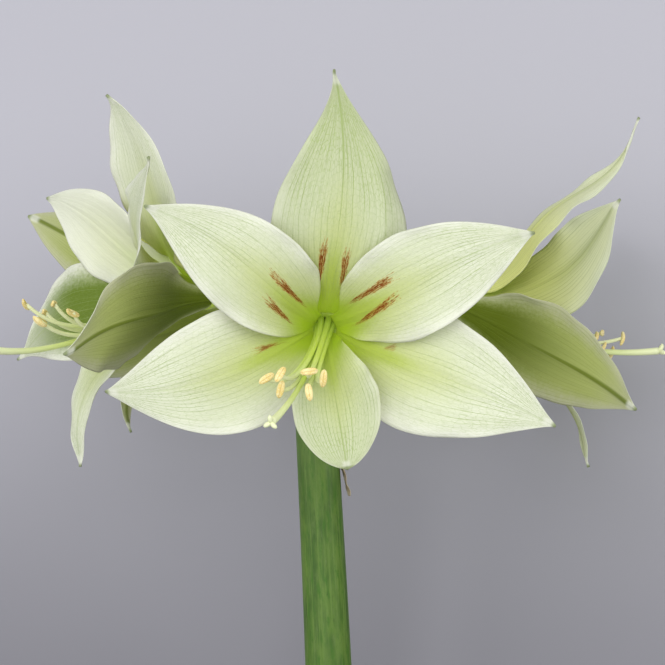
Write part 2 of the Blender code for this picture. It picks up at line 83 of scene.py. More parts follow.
rest_turn = Matrix.Rotation(math.radians(REST_PITCH), 3, "X")
rest_turn = rest_turn @ Matrix.Rotation(math.radians(REST_ROLL), 3, "Y")
rest_turn = rest_turn @ Matrix.Rotation(math.radians(-90), 3, "X")
REST_TURN = np.array(rest_turn)
print("the front bloom looks along", np.round(REST_TURN @ [0, -1, 0], 2))

# %% The stem's middle line and its thickness
SCAPE_LENGTH = 0.420
SCAPE_TOP_RADIUS = 0.0100
SCAPE_END_RADIUS = 0.0130
SCAPE_TAPER_LENGTH = 0.300
SCAPE_LEAN = 0.056
SCAPE_BOW = 0.045
BORE_RADIUS = 0.0068
BORE_TOP = -0.050


def scape_middle(z):
    """Sideways place of the stem's middle at height z: minus lean times z, minus bow times z squared."""
    return -SCAPE_LEAN * z - SCAPE_BOW * z**2


def scape_radius(z):
    """The stem's radius: it grows evenly from the top down, then keeps its width to the cut end."""
    share = np.minimum(-z / SCAPE_TAPER_LENGTH, 1.0)
    return SCAPE_TOP_RADIUS + (SCAPE_END_RADIUS - SCAPE_TOP_RADIUS) * share


# %% The shift that sets it on the table
SOLID_SIDES = 24
SOLID_LEVELS = -np.array([0.42, 0.34, 0.26, 0.18, 0.11, 0.05, 0.012, 0.0])[:, None]


def turns(sides):
    """Even angles once round, without the last one, which would be the first again."""
    return np.linspace(0, 2 * math.pi, sides, endpoint=False)


around, girth = turns(SOLID_SIDES), scape_radius(SOLID_LEVELS)
solid_rings = np.stack([
    scape_middle(SOLID_LEVELS) + girth * np.cos(around), girth * np.sin(around), SOLID_LEVELS + 0 * around,
], -1)
REST_PLACE = np.array(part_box("scape")[0]) - (solid_rings.reshape(-1, 3) @ REST_TURN.T).min(axis=0)


def lie_down(points):
    """Standing points, turned and then shifted into the row's frame."""
    return points @ REST_TURN.T + REST_PLACE


print("the top of the stem lies at", np.round(REST_PLACE * 1000, 1), "mm")

# %% [markdown]
# ## Closed skins from rows of rings
#
# Petal, stem, filament and anther are all the same kind of surface: a closed ring of points that
# changes as it is carried along. Kept as one array of shape (rings, points in a ring, 3), such a skin
# needs no loop over its points. Quads join each ring to the next, and a strip of quads closes each
# end. A last test of the enclosed volume turns the faces round if they look inwards. Each skin also
# keeps notes on its points, such as the way from the petal's foot, which its finish reads later.

# %% Ring skins
def skin_faces(rings, sides):
    """Corner numbers of all quads: ring i and side j join to ring i + 1 and side j + 1, ends closed."""
    i = np.arange(rings - 1)[:, None] * sides
    j = np.arange(sides)[None, :]
    k = (j + 1) % sides
    walls = np.stack([i + j, i + k, i + sides + k, i + sides + j], -1).reshape(-1, 4)
    a = np.arange(sides // 2 - 1)
    cap = np.stack([a, a + 1, sides - 2 - a, sides - 1 - a], -1)
    return np.concatenate([walls, cap[:, ::-1], cap + (rings - 1) * sides])


print("3 rings of 8 points make", len(skin_faces(3, 8)), "faces")


# %% From rings to a mesh
def enclosed_volume(points, faces):
    """Sum of the cones from the origin to each quad, split into two triangles."""
    a, b, c, d = (points[faces[:, k]] for k in range(4))
    cones = np.einsum("ij,ij->i", a, np.cross(b, c)) + np.einsum("ij,ij->i", a, np.cross(c, d))
    return cones.sum() / 6


def skin_mesh(name, rings, **notes):
    """A mesh from rings of points. Each note is three arrays or numbers, kept as a triple on every point."""
    points = rings.reshape(-1, 3)
    faces = skin_faces(rings.shape[0], rings.shape[1])
    if enclosed_volume(points, faces) < 0:
        faces = faces[:, ::-1]
    mesh = bpy.data.meshes.new(name)
    mesh.vertices.add(len(points))
    mesh.vertices.foreach_set("co", points.astype(np.float32).ravel())
    mesh.loops.add(faces.size)
    mesh.loops.foreach_set("vertex_index", faces.astype(np.int32).ravel())
    mesh.polygons.add(len(faces))
    mesh.polygons.foreach_set("loop_start", np.arange(0, faces.size, 4, dtype=np.int32))
    mesh.update(calc_edges=True)
    for note, values in notes.items():
        kept = mesh.attributes.new(note, "FLOAT_VECTOR", "POINT")
        values = np.stack([np.broadcast_to(value, rings.shape[:2]) for value in values], -1)
        kept.data.foreach_set("vector", values.astype(np.float32).ravel())
    mesh.shade_smooth()
    return mesh


# %% Small tools for points
def unit(vectors):
    """Each vector over its own length."""
    return vectors / np.linalg.norm(vectors, axis=-1, keepdims=True)


def there_and_back(face, back):
    """Rows of the face, then rows of the back run the other way, which makes each row a closed ring."""
    return np.concatenate([face, back[:, ::-1]], 1)


def in_scene(name, data):
    """A new object of the scene that shows this mesh, light or camera."""
    thing = bpy.data.objects.new(name, data)
    bpy.context.scene.collection.objects.link(thing)
    return thing


def add_piece(name, mesh, node, material):
    """Hides the solid that the mesh stands for, and lets the mesh ride on the root."""
    piece = in_scene(name, mesh)
    mesh.materials.append(material)
    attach(piece, "root")
    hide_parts(node)


# %% [markdown]
# ## Formulas that build node trees
#
# A petal's finish is a long chain of small sums: how far from the midrib, how far along, how much
# noise. A Wire is the output of a node, and it answers to + - * / and abs(), so a recipe is written
# as the formula that it is. Each sign adds one Math node to the tree that the wire belongs to. The
# helpers after it add one node each and give back its output as a wire.

# %% Wires
class Wire:
    """The output of a node, as a number or colour in a formula."""

    def __init__(self, socket):
        self.socket = socket
        self.tree = socket.id_data

    def __add__(self, other):
        return sums("ADD", self, other)

    def __sub__(self, other):
        return sums("SUBTRACT", self, other)

    def __rsub__(self, other):
        return sums("SUBTRACT", other, self)

    def __mul__(self, other):
        return sums("MULTIPLY", self, other)

    def __truediv__(self, other):
        return sums("DIVIDE", self, other)

    def __abs__(self):
        return sums("ABSOLUTE", self)

    __radd__ = __add__
    __rmul__ = __mul__


def plug(sockets, values):
    """Links a wire to each socket, named or numbered, or writes a plain number or colour into it."""
    for port, value in values.items():
        if isinstance(value, Wire):
            value.tree.links.new(value.socket, sockets[port])
        else:
            sockets[port].default_value = (*value, 1.0) if isinstance(value, tuple) else value


def new_node(tree, kind, values, **settings):
    """Adds one node, sets its own properties and plugs its inputs."""
    node = tree.nodes.new(kind)
    for name, setting in settings.items():
        setattr(node, name, setting)
    plug(node.inputs, values)
    return node


def wires_of(node):
    """The outputs of a node by name."""
    return {socket.name: Wire(socket) for socket in node.outputs}


def sums(operation, a, b=0.0):
    """One arithmetic step on two numbers, at least one of them a wire."""
    tree = a.tree if isinstance(a, Wire) else b.tree
    return wires_of(new_node(tree, "ShaderNodeMath", {0: a, 1: b}, operation=operation))["Value"]


def clamped(wire):
    """The same arithmetic step with its result kept between 0 and 1."""
    wire.socket.node.use_clamp = True
    return wire


# %% Ramps, blends, notes and noise
def ramp(value, low, high):
    """0 below low, 1 above high and a smooth rise between; swapped limits make it fall."""
    ends = (low, high, 0.0, 1.0) if low < high else (high, low, 1.0, 0.0)
    values = dict(zip(("From Min", "From Max", "To Min", "To Max"), ends), Value=value)
    node = new_node(value.tree, "ShaderNodeMapRange", values, interpolation_type="SMOOTHSTEP")
    return Wire(node.outputs["Result"])


def blend(share, first, second):
    """The first colour where share is 0, and the second where it is 1."""
    node = new_node(share.tree, "ShaderNodeMix", {0: share, 6: first, 7: second}, data_type="RGBA")
    return Wire(node.outputs[2])


def layered(colour, *coats):
    """Lays coats over a colour in turn: each has its share, from 0 to 1, and the colour it brings."""
    for share, coat in coats:
        colour = blend(share, colour, coat)
    return colour


def split(vector):
    """The three numbers of a vector."""
    return list(wires_of(new_node(vector.tree, "ShaderNodeSeparateXYZ", {0: vector})).values())


def note_of(tree, name):
    """The three numbers of a note kept on the mesh."""
    return split(wires_of(new_node(tree, "ShaderNodeAttribute", {}, attribute_name=name))["Vector"])


def triple(x, y, z):
    """Three numbers as one vector."""
    return wires_of(new_node(x.tree, "ShaderNodeCombineXYZ", {0: x, 1: y, 2: z}))["Vector"]


def grain(place, scale=1.0, detail=2.0, roughness=0.5):
    """Soft noise between 0 and 1 at a place, which is a vector or three numbers."""
    place = triple(*place) if isinstance(place, tuple) else place
    values = {"Vector": place, "Scale": scale, "Detail": detail, "Roughness": roughness}
    return wires_of(new_node(place.tree, "ShaderNodeTexNoise", values, noise_dimensions="3D"))["Fac"]


# %% [markdown]
# ## Two effects that several finishes share
#
# Living tissue shows two things again and again: fine veins that follow the organ, and a patchy
# change of tone. Each is built once as a node group with named inputs, and every finish places it
# with its own numbers. The groups give out masks and heights only, and the shader stays outside.

# %% Vein net group
def group_ports(name, inputs, outputs):
    """An empty node group, the wires that enter it, and the sockets by which it is left."""
    group = bpy.data.node_groups.new(name, "ShaderNodeTree")
    for port, value in inputs.items():
        socket = group.interface.new_socket(port, in_out="INPUT", socket_type="NodeSocketFloat")
        socket.default_value = value
    for port in outputs:
        group.interface.new_socket(port, in_out="OUTPUT", socket_type="NodeSocketFloat")
    enter, leave = new_node(group, "NodeGroupInput", {}), new_node(group, "NodeGroupOutput", {})
    return group, wires_of(enter), leave.inputs


def vein_net_group():
    """Veins: lines between columns that drift sideways. Net: the edges of long cells in the columns."""
    ports = {"Across": 0.0, "Along": 0.0, "Seed": 0.0, "Rows": 13.0, "Cell Length": 5.0}
    group, get, leave = group_ports("vein_net", ports, ("Veins", "Net"))
    across, along, seed = get["Across"], get["Along"], get["Seed"]
    drift = (grain((across * 3.0, along / 30.0, seed)) - 0.5) * 1.2
    column = across * get["Rows"] + drift
    beat = sums("PINGPONG", column, 0.5)
    own = grain((column * 0.9, along / 70.0, seed + 7.0))
    place = triple(column * 1.6, along / get["Cell Length"], seed)
    cells = new_node(group, "ShaderNodeTexVoronoi", {"Vector": place, "Scale": 1.0, "Randomness": 0.8},
                     voronoi_dimensions="3D", feature="DISTANCE_TO_EDGE")
    veins = ramp(beat, 0.13, 0.0) * ramp(own, 0.28, 0.62)
    plug(leave, {"Veins": veins, "Net": ramp(wires_of(cells)["Distance"], 0.12, 0.0)})
    return group


# %% Patchy tone group
def patches_group():
    """Two sizes of noise, the large one sharpened, for the uneven tone of living tissue."""
    ports = {"X": 0.0, "Y": 0.0, "Z": 0.0, "Size": 10.0}
    group, get, leave = group_ports("patches", ports, ("Broad", "Fine"))
    place = triple(*(get[axis] / get["Size"] for axis in "XYZ"))
    plug(leave, {"Broad": ramp(grain(place, 1.0, 3.0), 0.32, 0.68), "Fine": grain(place, 9.0, 2.0, 0.6)})
    return group


VEIN_NET = vein_net_group()
PATCHES = patches_group()


def use_group(tree, group, **values):
    """Places a group and plugs its inputs; underscores in a name stand for spaces."""
    values = {name.replace("_", " "): value for name, value in values.items()}
    return wires_of(new_node(tree, "ShaderNodeGroup", values, node_tree=group))


def patches_at(tree, place, size):
    """The patchy tone at a place of three numbers: its broad and its fine noise."""
    tone = use_group(tree, PATCHES, **dict(zip("XYZ", place)), Size=size)
    return tone["Broad"], tone["Fine"]


print("node groups:", [group.name for group in bpy.data.node_groups])

# %% What every finish needs
def start_finish(name):
    """A new material, its node tree and its principled shader."""
    material = bpy.data.materials.new(name)
    material.use_nodes = True
    return material, material.node_tree, material.node_tree.nodes["Principled BSDF"]


def count_nodes(*materials):
    """Says how many nodes each finish took."""
    for material in materials:
        print("finish", material.name, "has", len(material.node_tree.nodes), "nodes")


def dress(shader, colour, roughness, height, strength, distance):
    """Colour, roughness, and a bump whose height of 1 stands for this distance in metres."""
    values = {"Height": height, "Strength": strength, "Distance": distance}
    normal = wires_of(new_node(height.tree, "ShaderNodeBump", values))["Normal"]
    plug(shader.inputs, {"Base Color": colour, "Roughness": roughness, "Normal": normal})
    return normal


def let_light_through(shader, colour, share):
    """Mixes in this share of light that comes through the tissue in the tissue's colour."""
    through = new_node(colour.tree, "ShaderNodeBsdfTranslucent", {"Color": colour})
    values = {0: share, 1: Wire(shader.outputs[0]), 2: Wire(through.outputs[0])}
    mix = new_node(colour.tree, "ShaderNodeMixShader", values)
    plug(colour.tree.nodes["Material Output"].inputs, {"Surface": Wire(mix.outputs[0])})
    return through


# %% [markdown]
# ## The petals' finish
#
# An amaryllis petal is greenish white and lets light through. Lime green climbs out of the throat
# along the midrib, the margins fade almost to white, and a faint silk of long fine shades lies over
# the face. Fine green veins run from foot to tip with a net of short cross veins between them. Either
# side of the midrib, the petals of the upper half carry a brush stroke of fine red-brown dashes. The
# back is greener along its keel, and the tip is a pale callus that ends in a small dark horn.
#
# A pattern in plain object space would run straight through a curled petal, and a painted image would
# have to be drawn 24 times. All of this follows the petal, so noise and ramps are laid out in the
# petal's own coordinates, which its mesh carries as notes:
# - petal: across from -1 to 1, along from 0 to 1, and 0 on the face or 1 on the back;
# - span: millimetres from the midrib, millimetres from the foot, and a seed;
# - stroke_a, stroke_b: millimetres off a red stroke's line, place along it from 0 to 1, and its strength;
# - tone: how leafy the back is, how green the face is flushed, and how much painted shading darkens the
#   face, or how much painted light whitens it where this number is below 0.

# %% Petal colours
PALE = (0.77, 0.81, 0.60)
RIM_WHITE = (0.87, 0.88, 0.76)
# The darker green of painted shading on some petals, also used for the silk's random streaks.
PAINTED_SHADING_AND_SILK_GREEN = (0.50, 0.56, 0.29)
SOFT_LIME = (0.63, 0.69, 0.29)
LIME = (0.49, 0.60, 0.095)
# The throat's own lime green, brightened as painted light where the tube is deep and dark.
THROAT_GREEN_AND_PAINTED_LIGHT = (0.48, 0.64, 0.03)
VEIN_GREEN = (0.40, 0.50, 0.18)
# The yellow foot of the back: its own colour, brightened as painted light where little light reaches.
BACK_FOOT_AND_PAINTED_LIGHT = (0.82, 0.84, 0.24)
BACK_PALE = (0.84, 0.87, 0.60)
BACK_GREY = (0.57, 0.58, 0.37)
KEEL_GREEN = (0.23, 0.30, 0.04)
OLIVE = (0.46, 0.515, 0.165)
LEAF_GREEN = (0.140, 0.190, 0.007)
FLUSH_GREEN = (0.15, 0.225, 0.022)
TIP_GREEN = (0.21, 0.28, 0.07)
STROKE_RED = (0.235, 0.052, 0.004)
STROKE_ORANGE = (0.50, 0.24, 0.03)
# Painted light: the face near the throat glows faintly, as if lit through the tissue.
PAINTED_THROAT_GLOW = (0.135, 0.180, 0.010)
NO_GLOW = (0.0, 0.0, 0.0)


# %% Where a point is on its petal
def petal_places(tree):
    """All notes of a petal by name, its patchy tone, and two sizes of veins."""
    at = SimpleNamespace()
    at.s, at.t, at.back = note_of(tree, "petal")
    at.x, at.y, at.seed = note_of(tree, "span")
    at.leafy, at.flush, at.shade = note_of(tree, "tone")
    at.strokes = [note_of(tree, "stroke_a"), note_of(tree, "stroke_b")]
    at.side, at.inward = abs(at.s), abs(at.x)
    at.broad, at.fine = patches_at(tree, (at.x, at.y, at.seed), 16.0)
    at.climb = at.y * 0.5 + at.t * 62.0
    at.frayed = at.side + at.fine * 0.28
    run = {"Across": at.s, "Along": at.y, "Seed": at.seed}
    coarse = use_group(tree, VEIN_NET, **run, Rows=12.0, Cell_Length=3.0)
    at.veins, at.net = coarse["Veins"], coarse["Net"]
    at.hair = use_group(tree, VEIN_NET, **run, Rows=29.0, Cell_Length=9.0)["Veins"]
    return at


# %% The face
def petal_face(at):
    """Pale, whiter at the rim; lime and then green where the way from the foot grows short; painted shading
    on some petals, deeper to the tip, and painted light on others.
    """
    shading_to_tip = 0.6 + ramp(at.t, 0.40, 0.90) * 0.85
    silk = grain((at.x * 2.6, at.y * 0.25, at.seed), 1.0, 3.0, 0.6)
    reach = at.climb + at.inward * 1.5 + at.fine * 16.0
    ribbon = ramp(at.inward, 6.0, 2.5) * ramp(at.climb, 68.0, 40.0)
    flush = ramp(at.frayed, 1.14, 0.55) * ramp(at.t, 1.05, 0.55)
    return layered(
        PALE,
        (ramp(at.side + at.fine * 0.16, 0.70, 1.04), RIM_WHITE),
        (at.broad * 0.30, RIM_WHITE),
        (ramp(at.t, 0.55, 0.95) * 0.55, RIM_WHITE),
        # painted shading: a darker green over some whole petals, growing towards the tip
        (clamped(at.shade * shading_to_tip), PAINTED_SHADING_AND_SILK_GREEN),
        (ramp(silk, 0.40, 0.75) * 0.26, PAINTED_SHADING_AND_SILK_GREEN),
        (ramp(reach, 112.0, 68.0) * 0.85, SOFT_LIME),
        (ramp(reach, 74.0, 46.0) * 0.92, LIME),
        # lime throat, partly painted light: brightened against the darkness deep in the tube
        (ramp(at.climb + at.inward * 0.7, 40.0, 18.0), THROAT_GREEN_AND_PAINTED_LIGHT),
        (ribbon * 0.55, LIME),
        (flush * at.flush, FLUSH_GREEN),
        # painted light: petals whose shading number is below 0 are whitened
        (clamped(at.shade * -1.0), RIM_WHITE),
    )


# %% Veins and red strokes
def add_veins(at, colour):
    """Long veins, hair veins and the net between them, stronger to the tip and gone at the rim."""
    lines = (at.veins * 0.60 + at.hair * 0.34 + at.net * 0.20) * ramp(at.side, 1.05, 0.75)
    lines = lines * (0.55 + at.broad * 0.55) * (0.50 + ramp(at.t, 0.40, 1.0) * 1.5)
    # veins stand out more where painted shading lies
    lines = lines * (1.0 + at.shade * 1.6)
    groove = ramp(at.inward, 0.8, 0.1) * ramp(at.t, 0.45, 0.8)
    return layered(
        colour,
        (sums("MINIMUM", lines, 0.9), VEIN_GREEN),
        (clamped(groove * (0.30 + at.shade)), VEIN_GREEN),
    )


def red_stroke(at, colour, stroke):
    """Hairs that fan out: long thin noise, in a window that widens to the tip and frays at its ends."""
    off, place, strength = stroke
    lane = off / (1.25 + place * 2.3)
    hairs = grain((lane * 5.0, at.y * 0.12, at.seed), 1.0, 2.0, 0.6)
    fuzz = grain((lane * 8.0, at.y * 0.45, at.seed), 1.0, 2.0, 0.7)
    along = place + (hairs - 0.5) * 1.5
    window = ramp(along, -0.10, 0.14) * ramp(along, 1.14, 0.84) * ramp(abs(lane), 1.60, 0.35)
    level = hairs * 0.75 + fuzz * 0.62 + window * 0.50
    face = strength * (1.0 - at.back)
    return layered(
        colour,
        (ramp(level, 1.00, 1.12) * face * 0.75, STROKE_ORANGE),
        (ramp(level, 1.11, 1.21) * face, STROKE_RED),
    )


# %% The back
def petal_back(at):
    """Pale with a green keel and a yellow foot, brightened as painted light; a leafy petal is olive, deep
    green at foot and keel, greyish at its rim.
    """
    olive = ramp(at.frayed, 1.16, 0.62) * ramp(at.t, 1.10, 0.72)
    leaf = ramp(at.frayed, 1.10, 0.50) * ramp(at.t + at.side * 0.16, 0.86, 0.26)
    leaf = sums("MAXIMUM", leaf, ramp(at.inward, 1.7, 0.3) * 0.85)
    return layered(
        BACK_PALE,
        (ramp(at.side, 0.55, 1.0), PALE),
        (ramp(at.side, 0.35, 0.0) * 0.40, KEEL_GREEN),
        # yellow foot of the back, partly painted light
        (ramp(at.y, 88.0, 36.0) * 0.85, BACK_FOOT_AND_PAINTED_LIGHT),
        (at.leafy, BACK_GREY),
        (olive * clamped(at.leafy * 1.7), OLIVE),
        (leaf * at.leafy, LEAF_GREEN),
        (clamped((at.veins + at.hair * 0.6) * 0.42), KEEL_GREEN),
    )


# %% The petal's shader
def make_petal_finish():
    """Face and back colours with callus and horn; part of the light comes through, as in thin tissue, and the
    face near the throat glows with painted light.
    """
    material, tree, shader = start_finish("petal_tissue")
    at = petal_places(tree)
    face = add_veins(at, petal_face(at))
    for stroke in at.strokes:
        face = red_stroke(at, face, stroke)
    colour = layered(
        face,
        (at.back, petal_back(at)),
        (ramp(at.t, 0.945, 0.965) * ramp(at.inward, 2.6, 0.9) * 0.7, RIM_WHITE),
        (ramp(at.t, 0.980, 0.997) * 0.75, TIP_GREEN),
    )
    height = at.veins * -0.45 + at.hair * -0.20 + at.net * -0.20 + at.fine * 0.5
    normal = dress(shader, colour, 0.46 + at.fine * 0.22, height, 0.55, 0.00034)
    # painted light: an emitted colour on the face near the throat
    painted_glow = layered(NO_GLOW, (ramp(at.y, 44.0, 4.0), PAINTED_THROAT_GLOW), (at.back, NO_GLOW))
    plug(shader.inputs, {"Emission Color": painted_glow, "Emission Strength": 1.0, "Specular IOR Level": 0.20})
    plug(let_light_through(shader, colour, 0.28).inputs, {"Normal": normal})
    return material


PETAL_TISSUE = make_petal_finish()
count_nodes(PETAL_TISSUE)

# %% [markdown]
# ## The petals' form
#
# A bloom has six petals in two layers of three. Botanists call them tepals. One could sculpt a petal
# and bend copies of it, but each of the 24 flares, twists and curls in its own way, and each has to
# stay where its solid is. So each is one smooth sheet by formula: its middle line leaves the tube and
# flares away from the bloom's axis, it is an arc across, and its width swells and tapers. The numbers
# are those of the solids. The finer grid then adds what the solids leave out: a groove along the
# midrib, slight pleats, rippled margins, a hooked horn at the tip, one margin that folds back, and two
# petals drawn in on one side near the foot. The sheet is thick at the keel and thin at the margins.

# %% The measures of one petal
# Lengths are in metres and turns in degrees. flare is the lean away from the axis at four stations
# from foot to tip, widest is where the petal is broadest, and taper sharpens its tip. A roll curls
# its margin back by that share of the half width, fold bends part of the right margin back by that
# length, and claw draws the foot in on the right, or on the left below 0. leafy, flush and the
# shading number go to the finish; the shading number darkens the petal as painted shading, or whitens
# it as painted light below 0.
Tepal = namedtuple(
    "Tepal",
    "azimuth length half_width flare widest taper sway twist roll_left roll_right ruffle"
    " strokes leafy flush shade fold claw",
    defaults=(0.5, 1.5, 0.0, 0.0, 0.0, 0.0, 0.0018, (), 0.0, 0.0, 0.0, 0.0, 0.0),
)
GAP = 0.0003
WIDEST_WRAP = 52.0
FLARE_STATIONS = np.array((0.0, 0.3, 0.65, 1.0))
BASE_HALF_WIDTH = 0.0044
TIP_HALF_WIDTH = 0.0006
OUTER_BASE_RADIUS = 0.0066
INNER_BASE_RADIUS = 0.0051


def through_stations(values, t):
    """A smooth cubic through the values at the flare stations, with the slopes of their neighbours."""
    heights = np.array(values, float)
    slopes = np.gradient(heights, FLARE_STATIONS)
    span = np.clip(np.searchsorted(FLARE_STATIONS, t, side="right") - 1, 0, 2)
    width = FLARE_STATIONS[span + 1] - FLARE_STATIONS[span]
    u = (t - FLARE_STATIONS[span]) / width
    start = (2 * u**3 - 3 * u**2 + 1) * heights[span] + (u**3 - 2 * u**2 + u) * width * slopes[span]
    return start + (3 * u**2 - 2 * u**3) * heights[span + 1] + (u**3 - u**2) * width * slopes[span + 1]


def half_width(tepal, t):
    """t^m (1 - t)^n over its peak, plus a claw that fades from the foot and a bit of width at the tip."""
    t = np.clip(t, 0, 1)
    n = tepal.taper
    m = n * tepal.widest / (1 - tepal.widest)
    peak = tepal.widest**m * (1 - tepal.widest) ** n
    blade = tepal.half_width * t**m * (1 - t) ** n / peak
    return blade + BASE_HALF_WIDTH * (1 - t) ** 3 + TIP_HALF_WIDTH * t


# %% The middle sheet
MIDDLE_LINE_STEPS = 240


def petal_sheet(tepal, base_radius, s, t):
    """The sheet's points and the way its face looks, for s across (-1 to 1) and t along (0 to 1).

    Middle line: the sums of the cosine and the sine of the flare. Across: an arc round the axis whose
    half angle is limit * tanh(half width / radius / limit). The twist turns it about the middle line.
    """
    steps = np.linspace(0, 1, MIDDLE_LINE_STEPS + 1)
    angle = np.radians(through_stations(tepal.flare, steps))
    mid = 0.5 * (angle[1:] + angle[:-1])
    step = tepal.length / MIDDLE_LINE_STEPS
    z = np.interp(t, steps, np.concatenate([[0], np.cumsum(np.cos(mid) * step)]))
    r = np.interp(t, steps, base_radius + np.concatenate([[0], np.cumsum(np.sin(mid) * step)]))
    z = z + np.minimum(t, 0) * tepal.length
    psi = np.interp(t, steps, angle)
    turn = np.radians(tepal.sway) * np.sin(math.pi * t)
    outwards = np.stack([np.sin(turn), np.cos(turn), 0 * t], -1)
    across = np.stack([np.cos(turn), -np.sin(turn), 0 * t], -1)
    axis = np.array([0.0, 0.0, 1.0])
    ahead = np.cos(psi)[..., None] * axis + np.sin(psi)[..., None] * outwards
    facing = np.sin(psi)[..., None] * axis - np.cos(psi)[..., None] * outwards
    twist = (np.radians(tepal.twist) * np.clip(t, 0, 1) ** 1.5)[..., None]
    side = across * np.cos(twist) + facing * np.sin(twist)
    front = facing * np.cos(twist) - across * np.sin(twist)
    limit = math.radians(WIDEST_WRAP)
    arc = limit * np.tanh(half_width(tepal, t) / r / limit) * s
    rise = r * (1 - np.cos(arc))
    wave = tepal.ruffle * np.abs(s) ** 2.5 * np.sin(math.pi * t)
    wave = wave * np.sin(4 * math.pi * t + 1.3 * np.sign(s))
    roll = np.where(s > 0, tepal.roll_right, tepal.roll_left) * np.abs(s) ** 4
    wave = wave - roll * half_width(tepal, t) * np.sin(math.pi * t) ** 2
    points = axis * (z + GAP)[..., None] + outwards * r[..., None]
    points = points + side * (r * np.sin(arc))[..., None]
    points = points + front * (rise * np.cos(psi) + wave)[..., None]
    return points - ahead * (rise * np.sin(psi))[..., None]


SMALLEST = 1e-12


def sheet_normals(points):
    """Cross product of the steps across and along, which looks out of the petal's face."""
    normals = np.cross(np.gradient(points, axis=1), np.gradient(points, axis=0))
    return normals / np.maximum(np.linalg.norm(normals, axis=-1, keepdims=True), SMALLEST)


# %% Fine relief and thickness
GROOVE_DEPTH = 0.00020
RIB_HEIGHT = 0.00045
PLEAT_HEIGHT = 0.00009
RIPPLE_HEIGHT = 0.0014
BOW_HEIGHT = 0.0008
HOOK_HEIGHT = 0.0018
FOLD_PLACE = 0.60
FOLD_SPREAD = 0.11
KEEL_THICKNESS = 0.0013
KEEL_RIDGE = 0.0005
BLADE_THICKNESS = 0.00055
RIM_THICKNESS = 0.00028
HORN_THICKNESS = 0.0008


def petal_relief(tepal, s, t, seed):
    """Height over the smooth sheet towards the face: the sum of seven forms, each a wave or a bell."""
    phase = 2 * math.pi * np.array([seed * 0.37, seed * 0.71, seed * 0.13])
    x = s * half_width(tepal, t)
    body = np.sin(math.pi * np.clip(t, 0, 1))
    groove = -GROOVE_DEPTH * np.exp(-((x / 0.0011) ** 2)) * np.clip((t - 0.3) / 0.3, 0, 1)
    rib = RIB_HEIGHT * np.exp(-((x / 0.0030) ** 4)) * np.exp(-((t / 0.33) ** 4))
    pleats = PLEAT_HEIGHT * np.cos(2 * math.pi * 5.0 * s + phase[0]) * body * (1 - s**4)
    waves = np.sin(11 * t + 2.0 * s + phase[1]) + 0.6 * np.sin(19 * t - 1.5 * s + phase[2])
    waves = waves + 0.5 * np.sin(37 * t + phase[0] * np.sign(s))
    ripples = RIPPLE_HEIGHT * np.abs(s) ** 5 * body**0.7 * waves
    bow = BOW_HEIGHT * np.sin(5.5 * t + phase[2] + 1.8 * s) * body
    hook = HOOK_HEIGHT * np.clip((t - 0.93) / 0.07, 0, 1) ** 2
    fold = np.clip((s - 0.66) / 0.34, 0, 1) * np.exp(-(((t - FOLD_PLACE) / FOLD_SPREAD) ** 4))
    return groove + rib + pleats + ripples + bow + hook - tepal.fold * fold


def petal_thickness(s, t):
    """Thick along the keel and near the foot, thin at the rim, and thick again in the horn at the tip."""
    keel = np.exp(-((s / 0.16) ** 2)) * (1 - 0.65 * np.clip(t, 0, 1))
    blade = BLADE_THICKNESS + (RIM_THICKNESS - BLADE_THICKNESS) * np.abs(s) ** 3
    horn = HORN_THICKNESS * np.clip((t - 0.95) / 0.05, 0, 1) ** 2 * (1 - s**2)
    return blade + (KEEL_THICKNESS - BLADE_THICKNESS) * keel + horn


# %% From sheet to closed petal
CELLS_ACROSS = 44
CELLS_ALONG = 84
MIDRIB_CROWDING = 1.35
FOOT_SINKS = 0.0010
CLAW_PLACE = 0.13
FAR_OFF = 50.0


def spin(points, degrees):
    """Turns points about +Z."""
    c, s = math.cos(math.radians(degrees)), math.sin(math.radians(degrees))
    return points @ np.array([[c, s, 0], [-s, c, 0], [0, 0, 1]])


def stroke_note(tepal, number, x, y):
    """Millimetres off the numbered red stroke's line, the place along it from 0 to 1, and its strength."""
    if number >= len(tepal.strokes):
        return FAR_OFF, 0.0, 0.0
    x0, y0, x1, y1, strength = tepal.strokes[number]
    share = (y - y0) / (y1 - y0)
    return x - (x0 + (x1 - x0) * share), share, strength


def petal_mesh(name, tepal, base_radius, seed, place):
    """Half the thickness to each side of the middle sheet, plus a ridge down the back of the keel.

    The grid is finer at the midrib: s is a power of an even step. The claw draws one side in: s
    shrinks by its share times a bell over t.
    """
    u = np.linspace(-1, 1, CELLS_ACROSS + 1)
    v = np.concatenate([[-FOOT_SINKS / tepal.length], np.linspace(0, 1, CELLS_ALONG + 1)])
    s, t = np.meshgrid(np.sign(u) * np.abs(u) ** MIDRIB_CROWDING, v)
    claw = np.clip(np.sign(s) * tepal.claw, 0, 1)
    s = s * (1 - claw * np.exp(-(((t - CLAW_PLACE) / CLAW_PLACE) ** 2)))
    sheet = petal_sheet(tepal, base_radius, s, t)
    middle = sheet + sheet_normals(sheet) * petal_relief(tepal, s, t, seed)[..., None]
    normals = sheet_normals(middle)
    x, y = s * half_width(tepal, t) * 1000, t * tepal.length * 1000
    half = 0.5 * petal_thickness(s, t)[..., None]
    ridge = KEEL_RIDGE * np.exp(-((x / 1.6) ** 2)) * (1 - np.clip(t, 0, 1)) ** 0.5
    rings = there_and_back(middle + normals * half, middle - normals * (half + ridge[..., None]))
    backs = there_and_back(0 * s, 0 * s + 1)
    s, t, x, y = (there_and_back(value, value) for value in (s, t, x, y))
    notes = {
        "petal": (s, t, backs),
        "span": (x, y, seed),
        "stroke_a": stroke_note(tepal, 0, x, y),
        "stroke_b": stroke_note(tepal, 1, x, y),
        "tone": (tepal.leafy, tepal.flush, tepal.shade),
    }
    return skin_mesh(name, place(spin(rings, -tepal.azimuth)), **notes)


